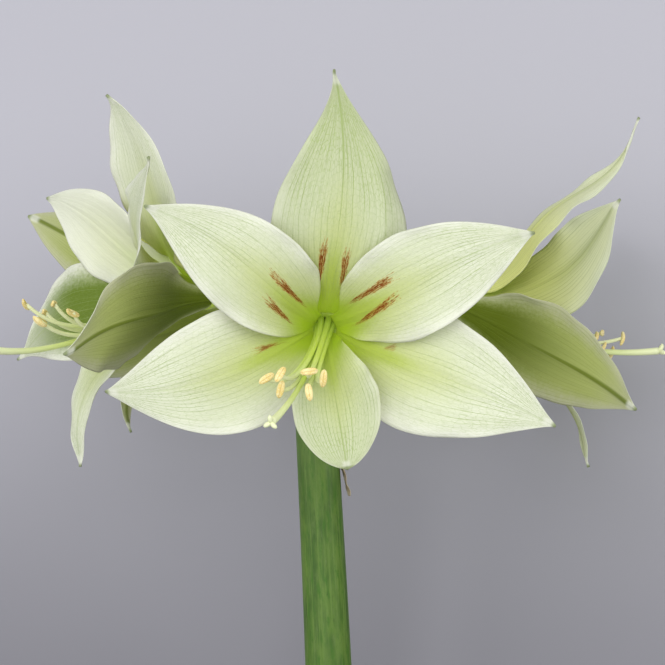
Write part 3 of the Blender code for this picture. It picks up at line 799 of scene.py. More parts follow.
# %% [markdown]
# ## The four blooms
#
# One bloom looks at us, one looks left, one right, and one is hidden behind. Their petals share the
# formula but not the numbers: this is where each petal's own flare, twist and rolled margin stand.
# The red strokes are lines in millimetres on the petal, from foot to tip.

# %% The front bloom's petals
OUTER_FLARE = (12, 48, 78, 84)
INNER_FLARE = (10, 42, 74, 86)
TOP_STROKES = ((-8.3, 36, -6.7, 63, 1.0), (8.2, 35, 7.0, 60, 0.9))
LEFT_STROKES = ((5.3, 32, 5.7, 61, 1.0), (-11.4, 31, -7.1, 54, 0.95))
RIGHT_STROKES = ((-8.3, 34, -8.2, 64, 1.0), (5.9, 29, 1.5, 60, 1.0))
LOWER_LEFT_STROKES = ((4.1, 30, 6.4, 45, 0.75),)
LOWER_RIGHT_STROKES = ((-4.4, 41, -8.6, 47, 0.45),)

# A shading number darkens a petal's face as painted shading; below 0 it whitens it as painted light.
FRONT_PETALS = {
    "outer_top": Tepal(2, 0.142, 0.0375, OUTER_FLARE, 0.46, 1.9, sway=5, roll_right=0.05,
                       strokes=TOP_STROKES, shade=0.50, fold=0.011),
    "outer_lower_right": Tepal(110, 0.127, 0.0365, OUTER_FLARE, 0.42, 1.3, sway=-2,
                               strokes=LOWER_RIGHT_STROKES),
    "outer_lower_left": Tepal(-103, 0.116, 0.0385, OUTER_FLARE, 0.40, 1.2, sway=-7,
                              strokes=LOWER_LEFT_STROKES),
    "inner_upper_right": Tepal(61.5, 0.129, 0.0265, INNER_FLARE, 0.53, 1.25, sway=-5, strokes=RIGHT_STROKES,
                               claw=-0.42),
    "inner_upper_left": Tepal(-52, 0.125, 0.0270, (10, 39, 75, 87), 0.48, 1.25, sway=7, ruffle=0.0012,
                              strokes=LEFT_STROKES, claw=0.38),
    "inner_bottom": Tepal(169.5, 0.090, 0.0265, (8, 26, 44, 60), 0.58, 0.8, ruffle=0.0008, shade=0.34),
}

# %% The side blooms' petals
# The left bloom's top and upper left petals are whitened as painted light.
LEFT_PETALS = {
    "outer_top": Tepal(4, 0.108, 0.038, (12, 52, 70, 66), 0.44, 1.0, sway=15, shade=-0.15),
    "outer_lower_right": Tepal(114, 0.129, 0.040, (12, 36, 26, 34), 0.38, 1.1, sway=-8, roll_left=0.25,
                               leafy=1.0),
    "outer_lower_left": Tepal(-107, 0.119, 0.0255, (12, 56, 84, 90), sway=8, leafy=0.55, flush=1.0),
    "inner_upper_right": Tepal(55, 0.136, 0.023, (8, 36, 64, 80), 0.42, 1.3, twist=22, leafy=0.15),
    "inner_upper_left": Tepal(-50, 0.092, 0.0310, (8, 40, 68, 72), 0.45, 1.1, sway=10, twist=5, shade=-0.6),
    "inner_bottom": Tepal(181, 0.114, 0.0155, (8, 28, 57, 112), 0.5, 1.2, leafy=0.1),
}
RIGHT_PETALS = {
    "outer_top": Tepal(2, 0.131, 0.038, (16, 74, 50, 104), 0.31, 3.0, twist=-20, leafy=0.05),
    "outer_lower_left": Tepal(-106, 0.118, 0.0270, (14, 53, 36, 58), 0.42, 1.2, sway=3, roll_right=0.25,
                              leafy=1.0),
    "outer_lower_right": Tepal(112, 0.115, 0.030, (12, 50, 54, 60), leafy=0.5),
    "inner_upper_left": Tepal(-49, 0.118, 0.0325, (8, 47, 84, 94), 0.36, 1.2, twist=-34, roll_right=0.2,
                              leafy=0.12),
    "inner_upper_right": Tepal(52, 0.129, 0.0225, (8, 46, 74, 80), 0.48, 1.2, leafy=0.3),
    "inner_bottom": Tepal(180, 0.109, 0.018, (8, 16, 28, 74), 0.42, 1.3, leafy=0.2),
}
BACK_PETALS = {
    "outer_top": Tepal(0, 0.096, 0.026, (10, 36, 46, 44), leafy=0.6),
    "outer_lower_left": Tepal(-120, 0.112, 0.030, (12, 46, 66, 70), leafy=0.5),
    "outer_lower_right": Tepal(116, 0.098, 0.020, (12, 40, 60, 170), leafy=0.9),
    "inner_upper_left": Tepal(-60, 0.112, 0.024, (8, 32, 44, 50), 0.48, 1.2, leafy=0.4),
    "inner_upper_right": Tepal(56, 0.121, 0.024, (8, 34, 54, 60), 0.50, 1.0, leafy=1.0),
    "inner_bottom": Tepal(166, 0.112, 0.015, (8, 24, 34, 150), 0.44, 1.6, leafy=0.9),
}

# %% Where each bloom stands and looks
# faces, nods, root and tip are degrees. mouth is the tube's lip in the standing stem's frame, while
# anthers and stigma are places in the bloom's own frame, seen from its mouth. sag is in metres.
Bloom = namedtuple("Bloom", "faces nods root mouth petals anthers sag tip stigma")
BLOOMS = {
    "front": Bloom(0, 8, -75, (0.0045, -0.065, 0.0435), FRONT_PETALS,
                   (-0.013, -0.0145, 0.074), 0.0095, -15, (-0.0228, -0.0292, 0.095)),
    "left": Bloom(-55, 0, 195, (-0.052, -0.022, 0.058), LEFT_PETALS,
                  (0.002, -0.009, 0.088), 0.022, 60, (0.002, -0.026, 0.116)),
    "right": Bloom(98, 20, 15, (0.064, 0.010, 0.056), RIGHT_PETALS,
                   (-0.004, 0.007, 0.078), 0.016, 8, (-0.004, 0.012, 0.106)),
    "back": Bloom(-135, 0, 105, (-0.034, 0.047, 0.052), BACK_PETALS,
                  (0.0, -0.012, 0.078), 0.012, 25, (0.0, -0.024, 0.104)),
}


def bloom_axes(bloom):
    """Columns: the bloom's right, its top, and the way it looks, turned by faces and tipped by nods."""
    a, n = math.radians(bloom.faces), math.radians(bloom.nods)
    axis = np.array([math.sin(a) * math.cos(n), -math.cos(a) * math.cos(n), -math.sin(n)])
    up = unit(np.array([0, 0, 1.0]) - axis * axis[2])
    return np.stack([np.cross(up, axis), up, axis], 1)


def placer(bloom):
    """Takes points of the bloom's own frame to their place on the lying stem."""
    axes, mouth = bloom_axes(bloom), np.array(bloom.mouth)
    return lambda points: lie_down(points @ axes.T + mouth)


# %% Make the petals
for number, (where, bloom) in enumerate(BLOOMS.items()):
    for order, (layer, tepal) in enumerate(bloom.petals.items()):
        base = OUTER_BASE_RADIUS if layer.startswith("outer") else INNER_BASE_RADIUS
        name = f"{where}_{layer}"
        mesh = petal_mesh("petal_" + name, tepal, base, 1.7 * (number * 6 + order), placer(bloom))
        add_piece("petal_" + name, mesh, name, PETAL_TISSUE)

# %% [markdown]
# ## The stem
#
# An amaryllis stem is hollow, as thick as a thumb, and lightly ribbed under a grey waxy bloom. It is a
# profile carried along the middle line: down the bore from its closed top, round the soft edge of
# the cut, and up the outside. A tube cut out of another tube would give the same walls, but one
# profile also rounds the cut edge and leaves no seam. The ribs are shallow waves in the radius. The
# finish reads where a point is round the stem and how many millimetres below its top. Noise at a place
# that is scaled far more round the stem than along it comes out as long streaks.

# %% The stem's finish
STEM_DEEP = (0.034, 0.090, 0.006)
STEM_FRESH = (0.090, 0.168, 0.018)
STEM_STREAK = (0.105, 0.185, 0.028)
STEM_DARK_BLOTCH = (0.036, 0.120, 0.003)
STEM_GREY_BLOTCH = (0.105, 0.165, 0.040)
STEM_FLECK = (0.030, 0.066, 0.006)
STEM_FOOT = (0.026, 0.070, 0.005)
STEM_TOP = (0.16, 0.26, 0.06)
PITH_DEEP = (0.50, 0.58, 0.33)
PITH_PALE = (0.62, 0.67, 0.45)


def drawn_out(place, across, along):
    """A place (cosine, sine, millimetres along) scaled by one number round the stem and one along it."""
    cosine, sine, down = place
    return cosine * across, sine * across, down * along


def make_stem_finish():
    """Mottled green with streaks, blotches and dark flecks, paler at the top and darker towards the foot."""
    material, tree, shader = start_finish("stem_skin")
    place = note_of(tree, "girth")
    inside = note_of(tree, "bore")[0]
    down = place[2]
    broad, fine = patches_at(tree, drawn_out(place, 11.0, 0.35), 7.0)
    streak = grain(drawn_out(place, 9.0, 0.025), 1.0, 4.0, 0.65)
    fleck = grain(drawn_out(place, 14.0, 0.16), 1.0, 3.0, 0.6)
    blotch = grain(drawn_out(place, 5.0, 0.11), 1.0, 4.0, 0.7)
    colour = layered(
        STEM_DEEP,
        (broad, STEM_FRESH),
        (ramp(streak, 0.42, 0.72), STEM_STREAK),
        (ramp(blotch, 0.50, 0.66) * 0.80, STEM_DARK_BLOTCH),
        (ramp(blotch, 0.46, 0.30) * 0.60, STEM_GREY_BLOTCH),
        (ramp(fleck, 0.60, 0.70) * 0.55, STEM_FLECK),
        (ramp(down, 50.0, 190.0) * 0.38, STEM_FOOT),
        (ramp(down, 40.0, 2.0) * 0.5, STEM_TOP),
        (inside, blend(ramp(fine, 0.35, 0.7), PITH_DEEP, PITH_PALE)),
    )
    dress(shader, colour, 0.34 + fine * 0.26, streak * 0.7 + fine * 0.3, 0.5, 0.0003)
    plug(shader.inputs, {"Specular IOR Level": 0.30})
    return material


STEM_SKIN = make_stem_finish()
count_nodes(STEM_SKIN)


# %% Make the stem
def stem_profile():
    """Heights, radii and a mark that is 1 in the bore and on the cut face, from the bore's top outwards."""
    bore = np.linspace(BORE_TOP - 0.004, -SCAPE_LENGTH + 0.002, 60)
    end = -SCAPE_LENGTH + np.array([0.0004, 0.0, 0.0, 0.0003, 0.0010])
    outside = np.linspace(-SCAPE_LENGTH + 0.0025, -0.0012, 130)
    top = np.array([-0.0004, 0.0, 0.0])
    z = np.concatenate([[BORE_TOP, BORE_TOP - 0.001], bore, end, outside, top])
    bore_radii = np.concatenate([[0.0025, 0.0050], 0 * bore + BORE_RADIUS])
    end_radii = np.array([BORE_RADIUS + 0.0001, BORE_RADIUS + 0.0006, 0.0120, 0.0127, 0.01295])
    top_radii = SCAPE_TOP_RADIUS - np.array([0.0003, 0.0012, 0.0045])
    r = np.concatenate([bore_radii, end_radii, scape_radius(outside), top_radii])
    inner = np.concatenate([np.ones(2 + len(bore) + 3), [0.35, 0.0], 0 * outside, 0 * top])
    return z[:, None], r[:, None], inner[:, None]


def make_stem(sides=96):
    """Radius = profile * (1 + ribs + slow swell); rings stay level, as the solid's are."""
    z, r, inner = stem_profile()
    a = turns(sides)
    ribs = 0.006 * np.sin(9 * a + 2.0 * np.sin(9 * z)) + 0.003 * np.sin(23 * a + 4.0)
    swell = 0.010 * np.sin(31 * z + 1.0) * np.sin(a + 5 * z) + 0.006 * np.sin(2 * a + 12 * z)
    fibres = 0.010 * np.sin(17 * a) * np.sin(40 * z)
    radius = r * (1 + (ribs + swell) * (1 - inner) + fibres * inner)
    rings = np.stack([scape_middle(z) + radius * np.cos(a), radius * np.sin(a), z + 0 * a], -1)
    return skin_mesh("stem", lie_down(rings), girth=(np.cos(a), np.sin(a), -z * 1000), bore=(inner, 0, 0))


add_piece("stem", make_stem(), "scape", STEM_SKIN)

# %% [markdown]
# ## Flower stalks, ovaries and tubes
#
# Each bloom stands on a short stalk of its own. It swells into a three-lobed ovary, narrows, and opens
# as the tube that the petals stand on. A curve object keeps one profile all the way, and these lobes
# come and go, so the profile is carried ring by ring along a smooth curve from the stem's top to the
# bloom's mouth. The solid's stations give its radii, and an eased line rounds the steps between them.

# %% Curves and rings along them
def bezier(ends, t):
    """The cubic curve of four control points: (1-t)^3 a + 3t(1-t)^2 b + 3t^2(1-t) c + t^3 d."""
    a, b, c, d = (np.array(point, float) for point in ends)
    u = np.asarray(t)[:, None]
    return a * (1 - u) ** 3 + 3 * b * u * (1 - u) ** 2 + 3 * c * u**2 * (1 - u) + d * u**3


def rings_along(path, ahead, side, radii):
    """Rings square to the way ahead: each starts at side, as far as that is square to it."""
    across = unit(side - ahead * (ahead @ side)[:, None])
    over = np.cross(ahead, across)
    a = turns(radii.shape[1])[:, None]
    return path[:, None] + radii[..., None] * (across[:, None] * np.cos(a) + over[:, None] * np.sin(a))


def tube_rings(path, radii, side, sides):
    """Round rings along the path, with one radius for each."""
    ahead = unit(np.gradient(path, axis=0))
    return rings_along(path, ahead, np.array(side), radii[:, None] + np.zeros(sides))


def eased(place, stations, values):
    """Values at the places, on a curve that meets each station flat enough not to overshoot it."""
    k = np.clip(np.searchsorted(stations, place, side="right") - 1, 0, len(stations) - 2)
    u = (place - stations[k]) / (stations[k + 1] - stations[k])
    u = 0.5 * u + 0.5 * u * u * (3 - 2 * u)
    return values[k] + (values[k + 1] - values[k]) * u


# %% The stalk's finish
STALK_DEEP = (0.17, 0.29, 0.06)
STALK_FRESH = (0.24, 0.38, 0.10)
STALK_FIBRE = (0.33, 0.47, 0.16)
TUBE_LIME = (0.50, 0.64, 0.08)


def make_stalk_finish():
    """Fresh green, paler and yellower towards the tube, with fine lengthwise fibres."""
    material, tree, shader = start_finish("stalk_skin")
    place = note_of(tree, "girth")
    share = note_of(tree, "rise")[0]
    broad, fine = patches_at(tree, drawn_out(place, 5.0, 0.5), 5.0)
    fibre = grain(drawn_out(place, 8.0, 0.06), 1.0, 3.0, 0.6)
    colour = layered(
        STALK_DEEP,
        (broad, STALK_FRESH),
        (ramp(fibre, 0.45, 0.75), STALK_FIBRE),
        (ramp(share, 0.78, 1.0), TUBE_LIME),
    )
    dress(shader, colour, 0.34 + fine * 0.22, fibre, 0.5, 0.0003)
    return material


STALK_SKIN = make_stalk_finish()
count_nodes(STALK_SKIN)


# %% Make the stalks
STALK_ROOT_OFFSET = 0.0056
STALK_RISE = 0.36
STALK_BEND = 0.55
THROAT_DEPTH = 0.0100
THROAT_RADII = (0.0062, 0.0040, 0.0032, 0.0029, 0.0026, 0.0022)


def stalk_stations(total):
    """Place along the curve, radius, and how strongly three lobes stand out, up to the tube's lip."""
    return np.array([
        (-0.0012, 0.0041, 0.0), (0.004, 0.0034, 0.0), (0.5 * (total - 0.030), 0.0034, 0.0),
        (total - 0.038, 0.0043, 0.03), (total - 0.032, 0.0059, 0.10), (total - 0.026, 0.0064, 0.12),
        (total - 0.020, 0.0055, 0.10), (total - 0.015, 0.0046, 0.02), (total - 0.008, 0.0054, 0.0),
        (total, 0.0073, 0.0),
    ])


def make_stalk(name, bloom, sides=48):
    """Rings along the curve up to the lip, then down the throat to its floor; lobes swell as cos 3a."""
    axes, mouth = bloom_axes(bloom), np.array(bloom.mouth)
    stands = math.radians(bloom.root)
    root = np.array([STALK_ROOT_OFFSET * math.cos(stands), STALK_ROOT_OFFSET * math.sin(stands), GAP])
    reach = np.linalg.norm(mouth - root)
    ends = (root, root + [0, 0, STALK_RISE * reach], mouth - axes[:, 2] * STALK_BEND * reach, mouth)
    fine = bezier(ends, np.linspace(0, 1, 401))
    lengths = np.concatenate([[0], np.cumsum(np.linalg.norm(np.diff(fine, axis=0), axis=1))])
    total = lengths[-1]
    stations, radii, lobes = stalk_stations(total).T
    place = np.linspace(stations[0], total, 90)
    radius = np.concatenate([eased(place, stations, radii), THROAT_RADII])
    lobes = np.concatenate([eased(place, stations, lobes), np.zeros(len(THROAT_RADII))])
    down = np.array([0.0004, 0.0, -0.0012, -0.4 * THROAT_DEPTH, -0.75 * THROAT_DEPTH, -THROAT_DEPTH])
    place = np.concatenate([place, total + down])
    slopes = np.gradient(fine, lengths, axis=0)
    path, ahead = (
        np.stack([np.interp(place, lengths, line[:, k]) for k in range(3)], -1) for line in (fine, slopes)
    )
    ahead = unit(ahead)
    path = path + ahead * (np.minimum(place, 0) + np.maximum(place - total, 0))[:, None]
    a = turns(sides)
    radius = radius[:, None] * (1 + lobes[:, None] * np.cos(3 * a) + 0.012 * np.sin(12 * a))
    rings = rings_along(path, ahead, axes[:, 0], radius)
    share = np.clip(place / total, 0, 1)[:, None]
    girth = (np.cos(a), np.sin(a), place[:, None] * 1000)
    return skin_mesh(name, lie_down(rings), girth=girth, rise=(share, 0, 0))


for where, bloom in BLOOMS.items():
    name = f"stalk_{where}"
    add_piece(name, make_stalk(name, bloom), f"{where}_stalk", STALK_SKIN)

# %% [markdown]
# ## Filaments, anthers and styles
#
# Six filaments leave a ring in the throat, sink towards the lower petals and turn up at their ends.
# Each carries an anther across its end: two long pollen sacs side by side, bent a little. The style
# is longer, and ends in three short lobes that curl back. Threads are rings along a curve, as the
# stalks are, so the same helper makes them, and the six of a bloom are joined into one piece. They
# are yellow-green in the throat and pale outwards, so their finish follows the share of the length.
# The anthers are warm yellow.

# %% Finishes of the brush
BRUSH_GREEN = (0.60, 0.74, 0.10)
# Pale streaks painted as sheen on the threads.
BRUSH_SHEEN_STREAK = (0.80, 0.82, 0.50)
FILAMENT_PALE = (0.82, 0.85, 0.50)
STYLE_PALE = (0.80, 0.84, 0.52)
POLLEN_GOLD = (0.80, 0.60, 0.17)
POLLEN_PALE = (0.90, 0.76, 0.34)
POLLEN_SPECK = (0.95, 0.87, 0.55)
SLIT_BROWN = (0.42, 0.26, 0.08)


def make_brush_finish(name, pale, pale_from, pale_to):
    """Colour by the share of the length, with faint pale lengthwise streaks painted as sheen."""
    material, tree, shader = start_finish(name)
    share, around, seed = note_of(tree, "brush")
    streak = grain((around * 1.5, share * 6.0, seed), 2.0, 3.0)
    colour = layered(
        BRUSH_GREEN,
        (ramp(share, pale_from, pale_to), pale),
        # painted sheen: pale streaks along the threads
        (ramp(streak, 0.4, 0.7) * 0.25, BRUSH_SHEEN_STREAK),
    )
    dress(shader, colour, 0.30 + streak * 0.2, streak, 0.3, 0.0002)
    let_light_through(shader, colour, 0.15)
    return material


def make_pollen_finish():
    """Warm yellow, grainy with pollen, browner along the slit between the two sacs."""
    material, tree, shader = start_finish("pollen")
    slit = note_of(tree, "brush")[1]
    place = wires_of(new_node(tree, "ShaderNodeTexCoord", {}))["Object"]
    specks = grain(place, 2600.0, 2.0, 0.7)
    colour = layered(
        POLLEN_GOLD,
        (ramp(grain(place, 260.0), 0.35, 0.65), POLLEN_PALE),
        (ramp(specks, 0.45, 0.72), POLLEN_SPECK),
        (slit * 0.45, SLIT_BROWN),
    )
    dress(shader, colour, 0.62 + specks * 0.3, specks, 0.9, 0.0005)
    return material


FILAMENT_SKIN = make_brush_finish("filament_skin", FILAMENT_PALE, 0.40, 0.95)
STYLE_SKIN = make_brush_finish("style_skin", STYLE_PALE, 0.45, 1.0)
POLLEN = make_pollen_finish()
count_nodes(FILAMENT_SKIN, STYLE_SKIN, POLLEN)


# %% Several closed skins in one mesh
def joined_mesh(name, skins):
    """One mesh from several (rings, brush note) skins, so that a brush of filaments is a single piece."""
    parts = [skin_mesh(f"{name}_{n}", rings, brush=note) for n, (rings, note) in enumerate(skins)]
    holders = [in_scene(part.name, part) for part in parts]
    first = {"active_object": holders[0], "object": holders[0]}
    with bpy.context.temp_override(selected_editable_objects=holders, **first):
        bpy.ops.object.join()
    mesh = holders[0].data
    bpy.data.objects.remove(holders[0])
    mesh.name = name
    return mesh


def thread_skin(place, path, radii, side, sides, share, seed):
    """A thread's rings and its brush note: the share of the length, the place around, and a seed."""
    rings = place(tube_rings(path, radii, side, sides))
    return rings, (share[:, None], np.linspace(0, 6.28, sides), seed)


# %% Where a filament runs
RING_RADIUS = 0.0037
FILAMENT_RADIUS = 0.0012
ANTHER_LENGTH = 0.0080
ANTHER_HALF_WIDTH = 0.00170
ANTHER_HALF_HEIGHT = 0.00130
ANTHER_BOW = 0.0007
ANTHER_SPREAD = 0.0125
ANTHER_LIFT = 0.0045
ANTHER_STAGGER = 0.008
BUNDLE_SHARE = 0.22
FIRST_STAMEN = -150


def filament_path(bloom, azimuth, share):
    """The solid's own curve: from the throat ring, in a bundle past a low middle, apart to the anther."""
    a = math.radians(azimuth)
    foot = np.array([RING_RADIUS * math.sin(a), RING_RADIUS * math.cos(a), -0.0030])
    spread, lift = ANTHER_SPREAD * math.sin(a), ANTHER_LIFT * math.cos(a)
    middle = np.array(bloom.anthers)
    apart = np.array([spread, lift, ANTHER_STAGGER * math.cos(2 * a + 0.6)])
    first = foot * (0.35, 0.35, 1.0) + (0.0, -0.002, 0.028)
    second = middle + BUNDLE_SHARE * apart + (-0.2 * middle[0], -bloom.sag, -0.25 * middle[2])
    return bezier((foot, first, second, middle + apart), share)


# %% One anther
ANTHER_LEANS = (14, 58, 30, 84, 6, -8)
BLOOM_UP = np.array([0.0, 0.3, 1.0])


def anther_turn(bloom, number):
    """Which way an anther lies: up the bloom, leant sideways by its own angle and tipped by the bloom's."""
    lean = math.radians(ANTHER_LEANS[number])
    tip = math.radians(bloom.tip + 12 * math.cos(1.7 * number))
    return np.array([math.sin(lean), math.cos(lean) * math.cos(tip), math.sin(tip)])


def anther_skin(place, centre, along, seed, sides=20, rings=15):
    """A figure of eight carried along a shallow bow; its ends round off as a power of 1 - v^2."""
    v = np.linspace(-1, 1, rings)[:, None] * 0.995
    a = turns(sides)
    along = unit(along)
    up = unit(BLOOM_UP - along * (BLOOM_UP @ along))
    ends = (1 - v**2) ** 0.4
    wide = ANTHER_HALF_WIDTH * (0.55 + 0.45 * np.abs(np.cos(a)) ** 0.7)
    high = ANTHER_HALF_HEIGHT * (0.70 + 0.30 * np.abs(np.cos(a)))
    path = centre + v * ANTHER_LENGTH / 2 * along + (1 - v**2) * ANTHER_BOW * up
    sideways = (ends * wide * np.cos(a))[..., None] * np.cross(along, up)
    upwards = (ends * high * np.sin(a))[..., None] * up
    slit = np.clip(1 - np.abs(np.cos(a)) / 0.28, 0, 1)
    return place(path[:, None] + sideways + upwards), ((v + 1) / 2, slit, seed)


# %% Make the stamens
THREAD_SIDE = (1.0, 0.15, 0.1)

for number, (where, bloom) in enumerate(BLOOMS.items()):
    place, threads, sacs = placer(bloom), [], []
    share = np.linspace(0, 1, 44)
    for stamen in range(6):
        path = filament_path(bloom, FIRST_STAMEN + 60 * stamen, share)
        radii = FILAMENT_RADIUS * (1.35 - 0.65 * share)
        seed = 10 * number + stamen
        threads.append(thread_skin(place, path, radii, THREAD_SIDE, 12, share, seed))
        sacs.append(anther_skin(place, path[-1], anther_turn(bloom, stamen), seed))
    for kind, skins, finish, slot in (
        ("filaments", threads, FILAMENT_SKIN, "style_green"),
        ("anthers", sacs, POLLEN, "stamen_yellow"),
    ):
        name = f"{kind}_{where}"
        add_piece(name, joined_mesh(name, skins), f"{where}_stamens", finish)
print("stamens: 24")

# %% Make the styles
STYLE_RADIUS = 0.0014
STYLE_SIDE = (1.0, 0.1, 0.1)
LOBE_RADIUS = 0.0011
LOBE_REACH = 0.0040


def style_skins(bloom, place, seed):
    """The style's tube, a little wider at its tip, and three lobes that open and curl back."""
    side, lift, reach = bloom.anthers
    ends = ((0.0, 0.0, GAP - THROAT_DEPTH), (0.0, -0.002, 0.35 * reach),
            (0.8 * side, lift - bloom.sag, 0.8 * reach), bloom.stigma)
    share = np.linspace(0, 1, 70)
    path = bezier(ends, share)
    radii = STYLE_RADIUS * (1.12 - 0.30 * np.sin(math.pi * share**1.2) + 0.15 * share**8)
    skins = [thread_skin(place, path, radii, STYLE_SIDE, 14, share * 0.92, seed)]
    top, ahead = path[-1], unit(path[-1] - path[-2])
    grow = np.linspace(0, 1, 18)
    width = LOBE_RADIUS * (0.75 + 0.30 * np.sin(math.pi * grow)) * (1 - grow**6 * 0.7)
    for lobe in range(3):
        a = math.radians(120 * lobe)
        out = np.array([math.sin(a), math.cos(a), 0.0])
        out -= ahead * (out @ ahead)
        tip = top + LOBE_REACH * (0.55 * ahead + 0.85 * out)
        ends = (top - 0.0008 * ahead, top + 0.0016 * ahead, tip + 0.0004 * ahead, tip - 0.0006 * ahead)
        turn = np.cross(ahead, out)
        skins.append(thread_skin(place, bezier(ends, grow), width, turn, 10, 0.95 + 0.05 * grow, seed + lobe))
    return skins


for number, (where, bloom) in enumerate(BLOOMS.items()):
    name = f"style_{where}"
    mesh = joined_mesh(name, style_skins(bloom, placer(bloom), 5 * number))
    add_piece(name, mesh, f"{where}_style", STYLE_SKIN)
print("styles: 4")

# %% [markdown]
# ## The withered sheath
#
# Before they open, the buds are wrapped in a sheath. What is left of it hangs from the top of the
# stem: papery brown strips, thin as onion skin, with fine veins and torn, curled edges. Cloth would
# drape too softly for dry paper, so each strip is a sheet that hugs the stem by formula and curls away
# from it towards the tip. A face and a back a third of a millimetre apart close it.

# %% The sheath's finish
SHEATH_DEEP = (0.46, 0.36, 0.22)
SHEATH_PALE = (0.62, 0.54, 0.38)
SHEATH_VEIN = (0.26, 0.17, 0.09)
SHEATH_ROOT = (0.42, 0.46, 0.20)


def make_sheath_finish():
    """Brown paper with darker veins, still greenish at its root; thin enough to let light through."""
    material, tree, shader = start_finish("sheath_paper")
    s, t, seed = note_of(tree, "sheath")
    along = t * 39.0
    net = use_group(tree, VEIN_NET, Across=s, Along=along, Seed=seed, Rows=4.5, Cell_Length=4.0)
    broad, fine = patches_at(tree, (s * 6.0, along, seed), 6.0)
    colour = layered(
        SHEATH_DEEP,
        (broad, SHEATH_PALE),
        (net["Veins"] * 0.5, SHEATH_VEIN),
        (ramp(t, 0.18, 0.0), SHEATH_ROOT),
    )
    dress(shader, colour, 0.6 + fine * 0.25, net["Veins"] + fine, 0.6, 0.0003)
    let_light_through(shader, colour, 0.25)
    return material


SHEATH_PAPER = make_sheath_finish()
count_nodes(SHEATH_PAPER)

# %% Make the sheath valves
SHEATH_TOP = -0.0015
SHEATH_LENGTH = 0.039
SHEATH_HALF_WIDTH = 0.0065
SHEATH_HALF_THICKNESS = 0.00016
SHEATH_CURL = 0.0060
SHEATH_GAP = 0.00075
SHEATH_SLANT = 0.0012


def sheath_mesh(name, azimuth, curl, seed):
    """Hangs from the rim and hugs the stem; radius grows with the slant, and with curl * t^4 at the tip."""
    u, t = np.meshgrid(np.linspace(-1, 1, 25), np.linspace(0, 1, 61))
    z = SHEATH_TOP - SHEATH_LENGTH * t * (1 - 0.12 * curl * t**3)
    half = SHEATH_HALF_WIDTH * np.maximum(1 - t, 0) ** 0.8 * (1 + 0.10 * np.sin(23 * t + seed)) + 0.0006
    radius = SCAPE_TOP_RADIUS + SHEATH_GAP + SHEATH_SLANT * t
    radius = radius + SHEATH_CURL * curl * t**4 + 0.0010 * u**2 * t
    radius = radius + 0.0004 * np.sin(31 * t + 3 * u + seed) * t + 0.00012 * np.cos(9 * u)
    angle = math.radians(azimuth) + u * half / SCAPE_TOP_RADIUS + 0.10 * np.sin(5 * t + seed) * t
    sheet = np.stack([scape_middle(z) + radius * np.sin(angle), -radius * np.cos(angle), z], -1)
    shift = sheet_normals(sheet) * SHEATH_HALF_THICKNESS
    note = (there_and_back(u, u), there_and_back(t, t), seed)
    return skin_mesh(name, lie_down(there_and_back(sheet + shift, sheet - shift)), sheath=note)


for where, azimuth, curl, seed in (("right", 100, 0.35, 1.0), ("back", -165, 0.5, 4.0)):
    name = f"sheath_{where}"
    add_piece(name, sheath_mesh(name, azimuth, curl, seed), f"spathe_{where}", SHEATH_PAPER)

# %% [markdown]
# ## Table, light and camera
#
# The stem lies on a plain pale table, so the camera looks down on it. It stands where it would stand
# in front of the upright flower: straight ahead of the front bloom, a metre and a half away, with a
# long lens. It takes the same turn and shift as the stem, so nothing has to be aimed by hand. Three
# large soft boxes, one behind the camera and one on either side, and a pale even world give the light
# of a studio.

# %% The table
# The table's painted shading towards the cut end and its painted light at the other end.
TABLE_SHADED_END = (0.160, 0.157, 0.172)
TABLE_LIT_END = (0.408, 0.403, 0.436)


def make_table_finish():
    """A pale lavender grey with painted light and painted shading: lighter along +Y and a little along +X,
    darker slowly towards the cut end, with a barely visible change of tone.
    """
    material, tree, shader = start_finish("table_top")
    place = wires_of(new_node(tree, "ShaderNodeTexCoord", {}))["Object"]
    x, y = split(place)[:2]
    # painted light: the brightness slopes across the table as if under the lamps
    far = y + x * 0.06 + grain(place, 3.0) * 0.05
    colour = blend(ramp(far, -0.08, 0.36), TABLE_SHADED_END, TABLE_LIT_END)
    plug(shader.inputs, {"Base Color": colour, "Roughness": 0.85, "Specular IOR Level": 0.1})
    return material


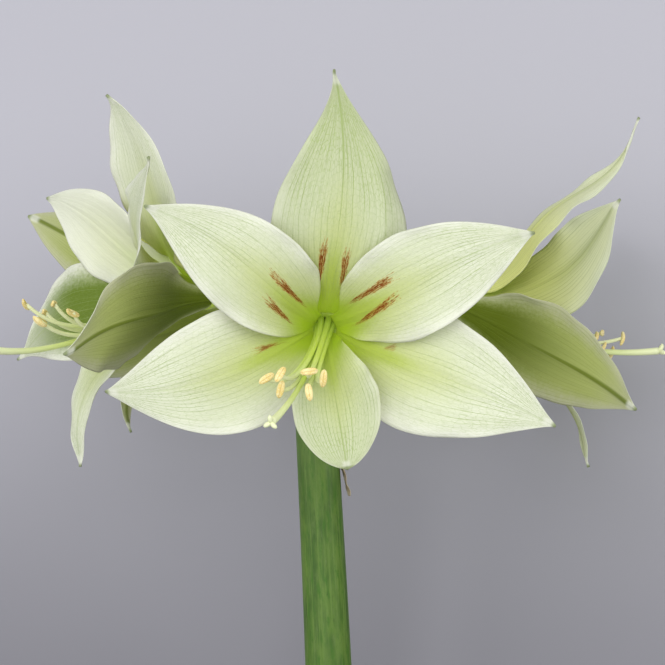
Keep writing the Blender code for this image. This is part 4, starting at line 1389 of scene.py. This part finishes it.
TABLE_REACH = 6.0
table_corners = [(TABLE_REACH * x, TABLE_REACH * y, 0) for x, y in ((-1, -1), (1, -1), (1, 1), (-1, 1))]
table_mesh = bpy.data.meshes.new("table")
table_mesh.from_pydata(table_corners, [], [(0, 1, 2, 3)])
table_mesh.materials.append(make_table_finish())
table = in_scene("table", table_mesh)

# %% The camera of the photograph
CAMERA_PLACE = (0.008, -1.5, 0.040)
SENSOR_WIDTH = 36.0
FOCAL_PIXELS = 3111
PHOTO_PIXELS = 665

camera_data = bpy.data.cameras.new("camera")
camera_data.lens = SENSOR_WIDTH * FOCAL_PIXELS / PHOTO_PIXELS
camera_data.sensor_width = SENSOR_WIDTH
camera_data.clip_start = 0.05
camera = in_scene("camera", camera_data)
laid_down = Matrix(np.vstack([np.column_stack([REST_TURN, REST_PLACE]), [0, 0, 0, 1]]).tolist())
upright = Matrix.Translation(CAMERA_PLACE) @ Matrix.Rotation(math.radians(90), 4, "X")
camera.matrix_world = laid_down @ upright
bpy.context.scene.camera = camera
print("camera at", [round(x, 2) for x in camera.matrix_world.translation])


# %% Soft light
BLOOMS_MIDDLE = Vector((0.0, 0.0, 0.05))


def add_softbox(name, stands, size, power):
    """A square area light at a place in the standing frame, aimed at the blooms."""
    light = bpy.data.lights.new(name, "AREA")
    light.shape = "SQUARE"
    light.size = size
    light.energy = power
    spot = laid_down @ Vector(stands)
    turn = (spot - laid_down @ BLOOMS_MIDDLE).to_track_quat("Z", "Y").to_matrix().to_4x4()
    in_scene(name, light).matrix_world = Matrix.Translation(spot) @ turn


add_softbox("key_light", (-0.25, -2.0, 0.55), 1.5, 22.0)
add_softbox("left_light", (-1.7, -1.1, 0.4), 1.2, 10.0)
add_softbox("right_light", (1.7, -1.3, 0.4), 1.2, 11.0)
world = bpy.data.worlds.new("studio")
bpy.context.scene.world = world
world.use_nodes = True
plug(world.node_tree.nodes["Background"].inputs, {"Color": (0.94, 0.95, 1.0), "Strength": 0.82})
bpy.context.scene.view_settings.view_transform = "Standard"
print("lights in watts:", {light.name: light.energy for light in bpy.data.lights})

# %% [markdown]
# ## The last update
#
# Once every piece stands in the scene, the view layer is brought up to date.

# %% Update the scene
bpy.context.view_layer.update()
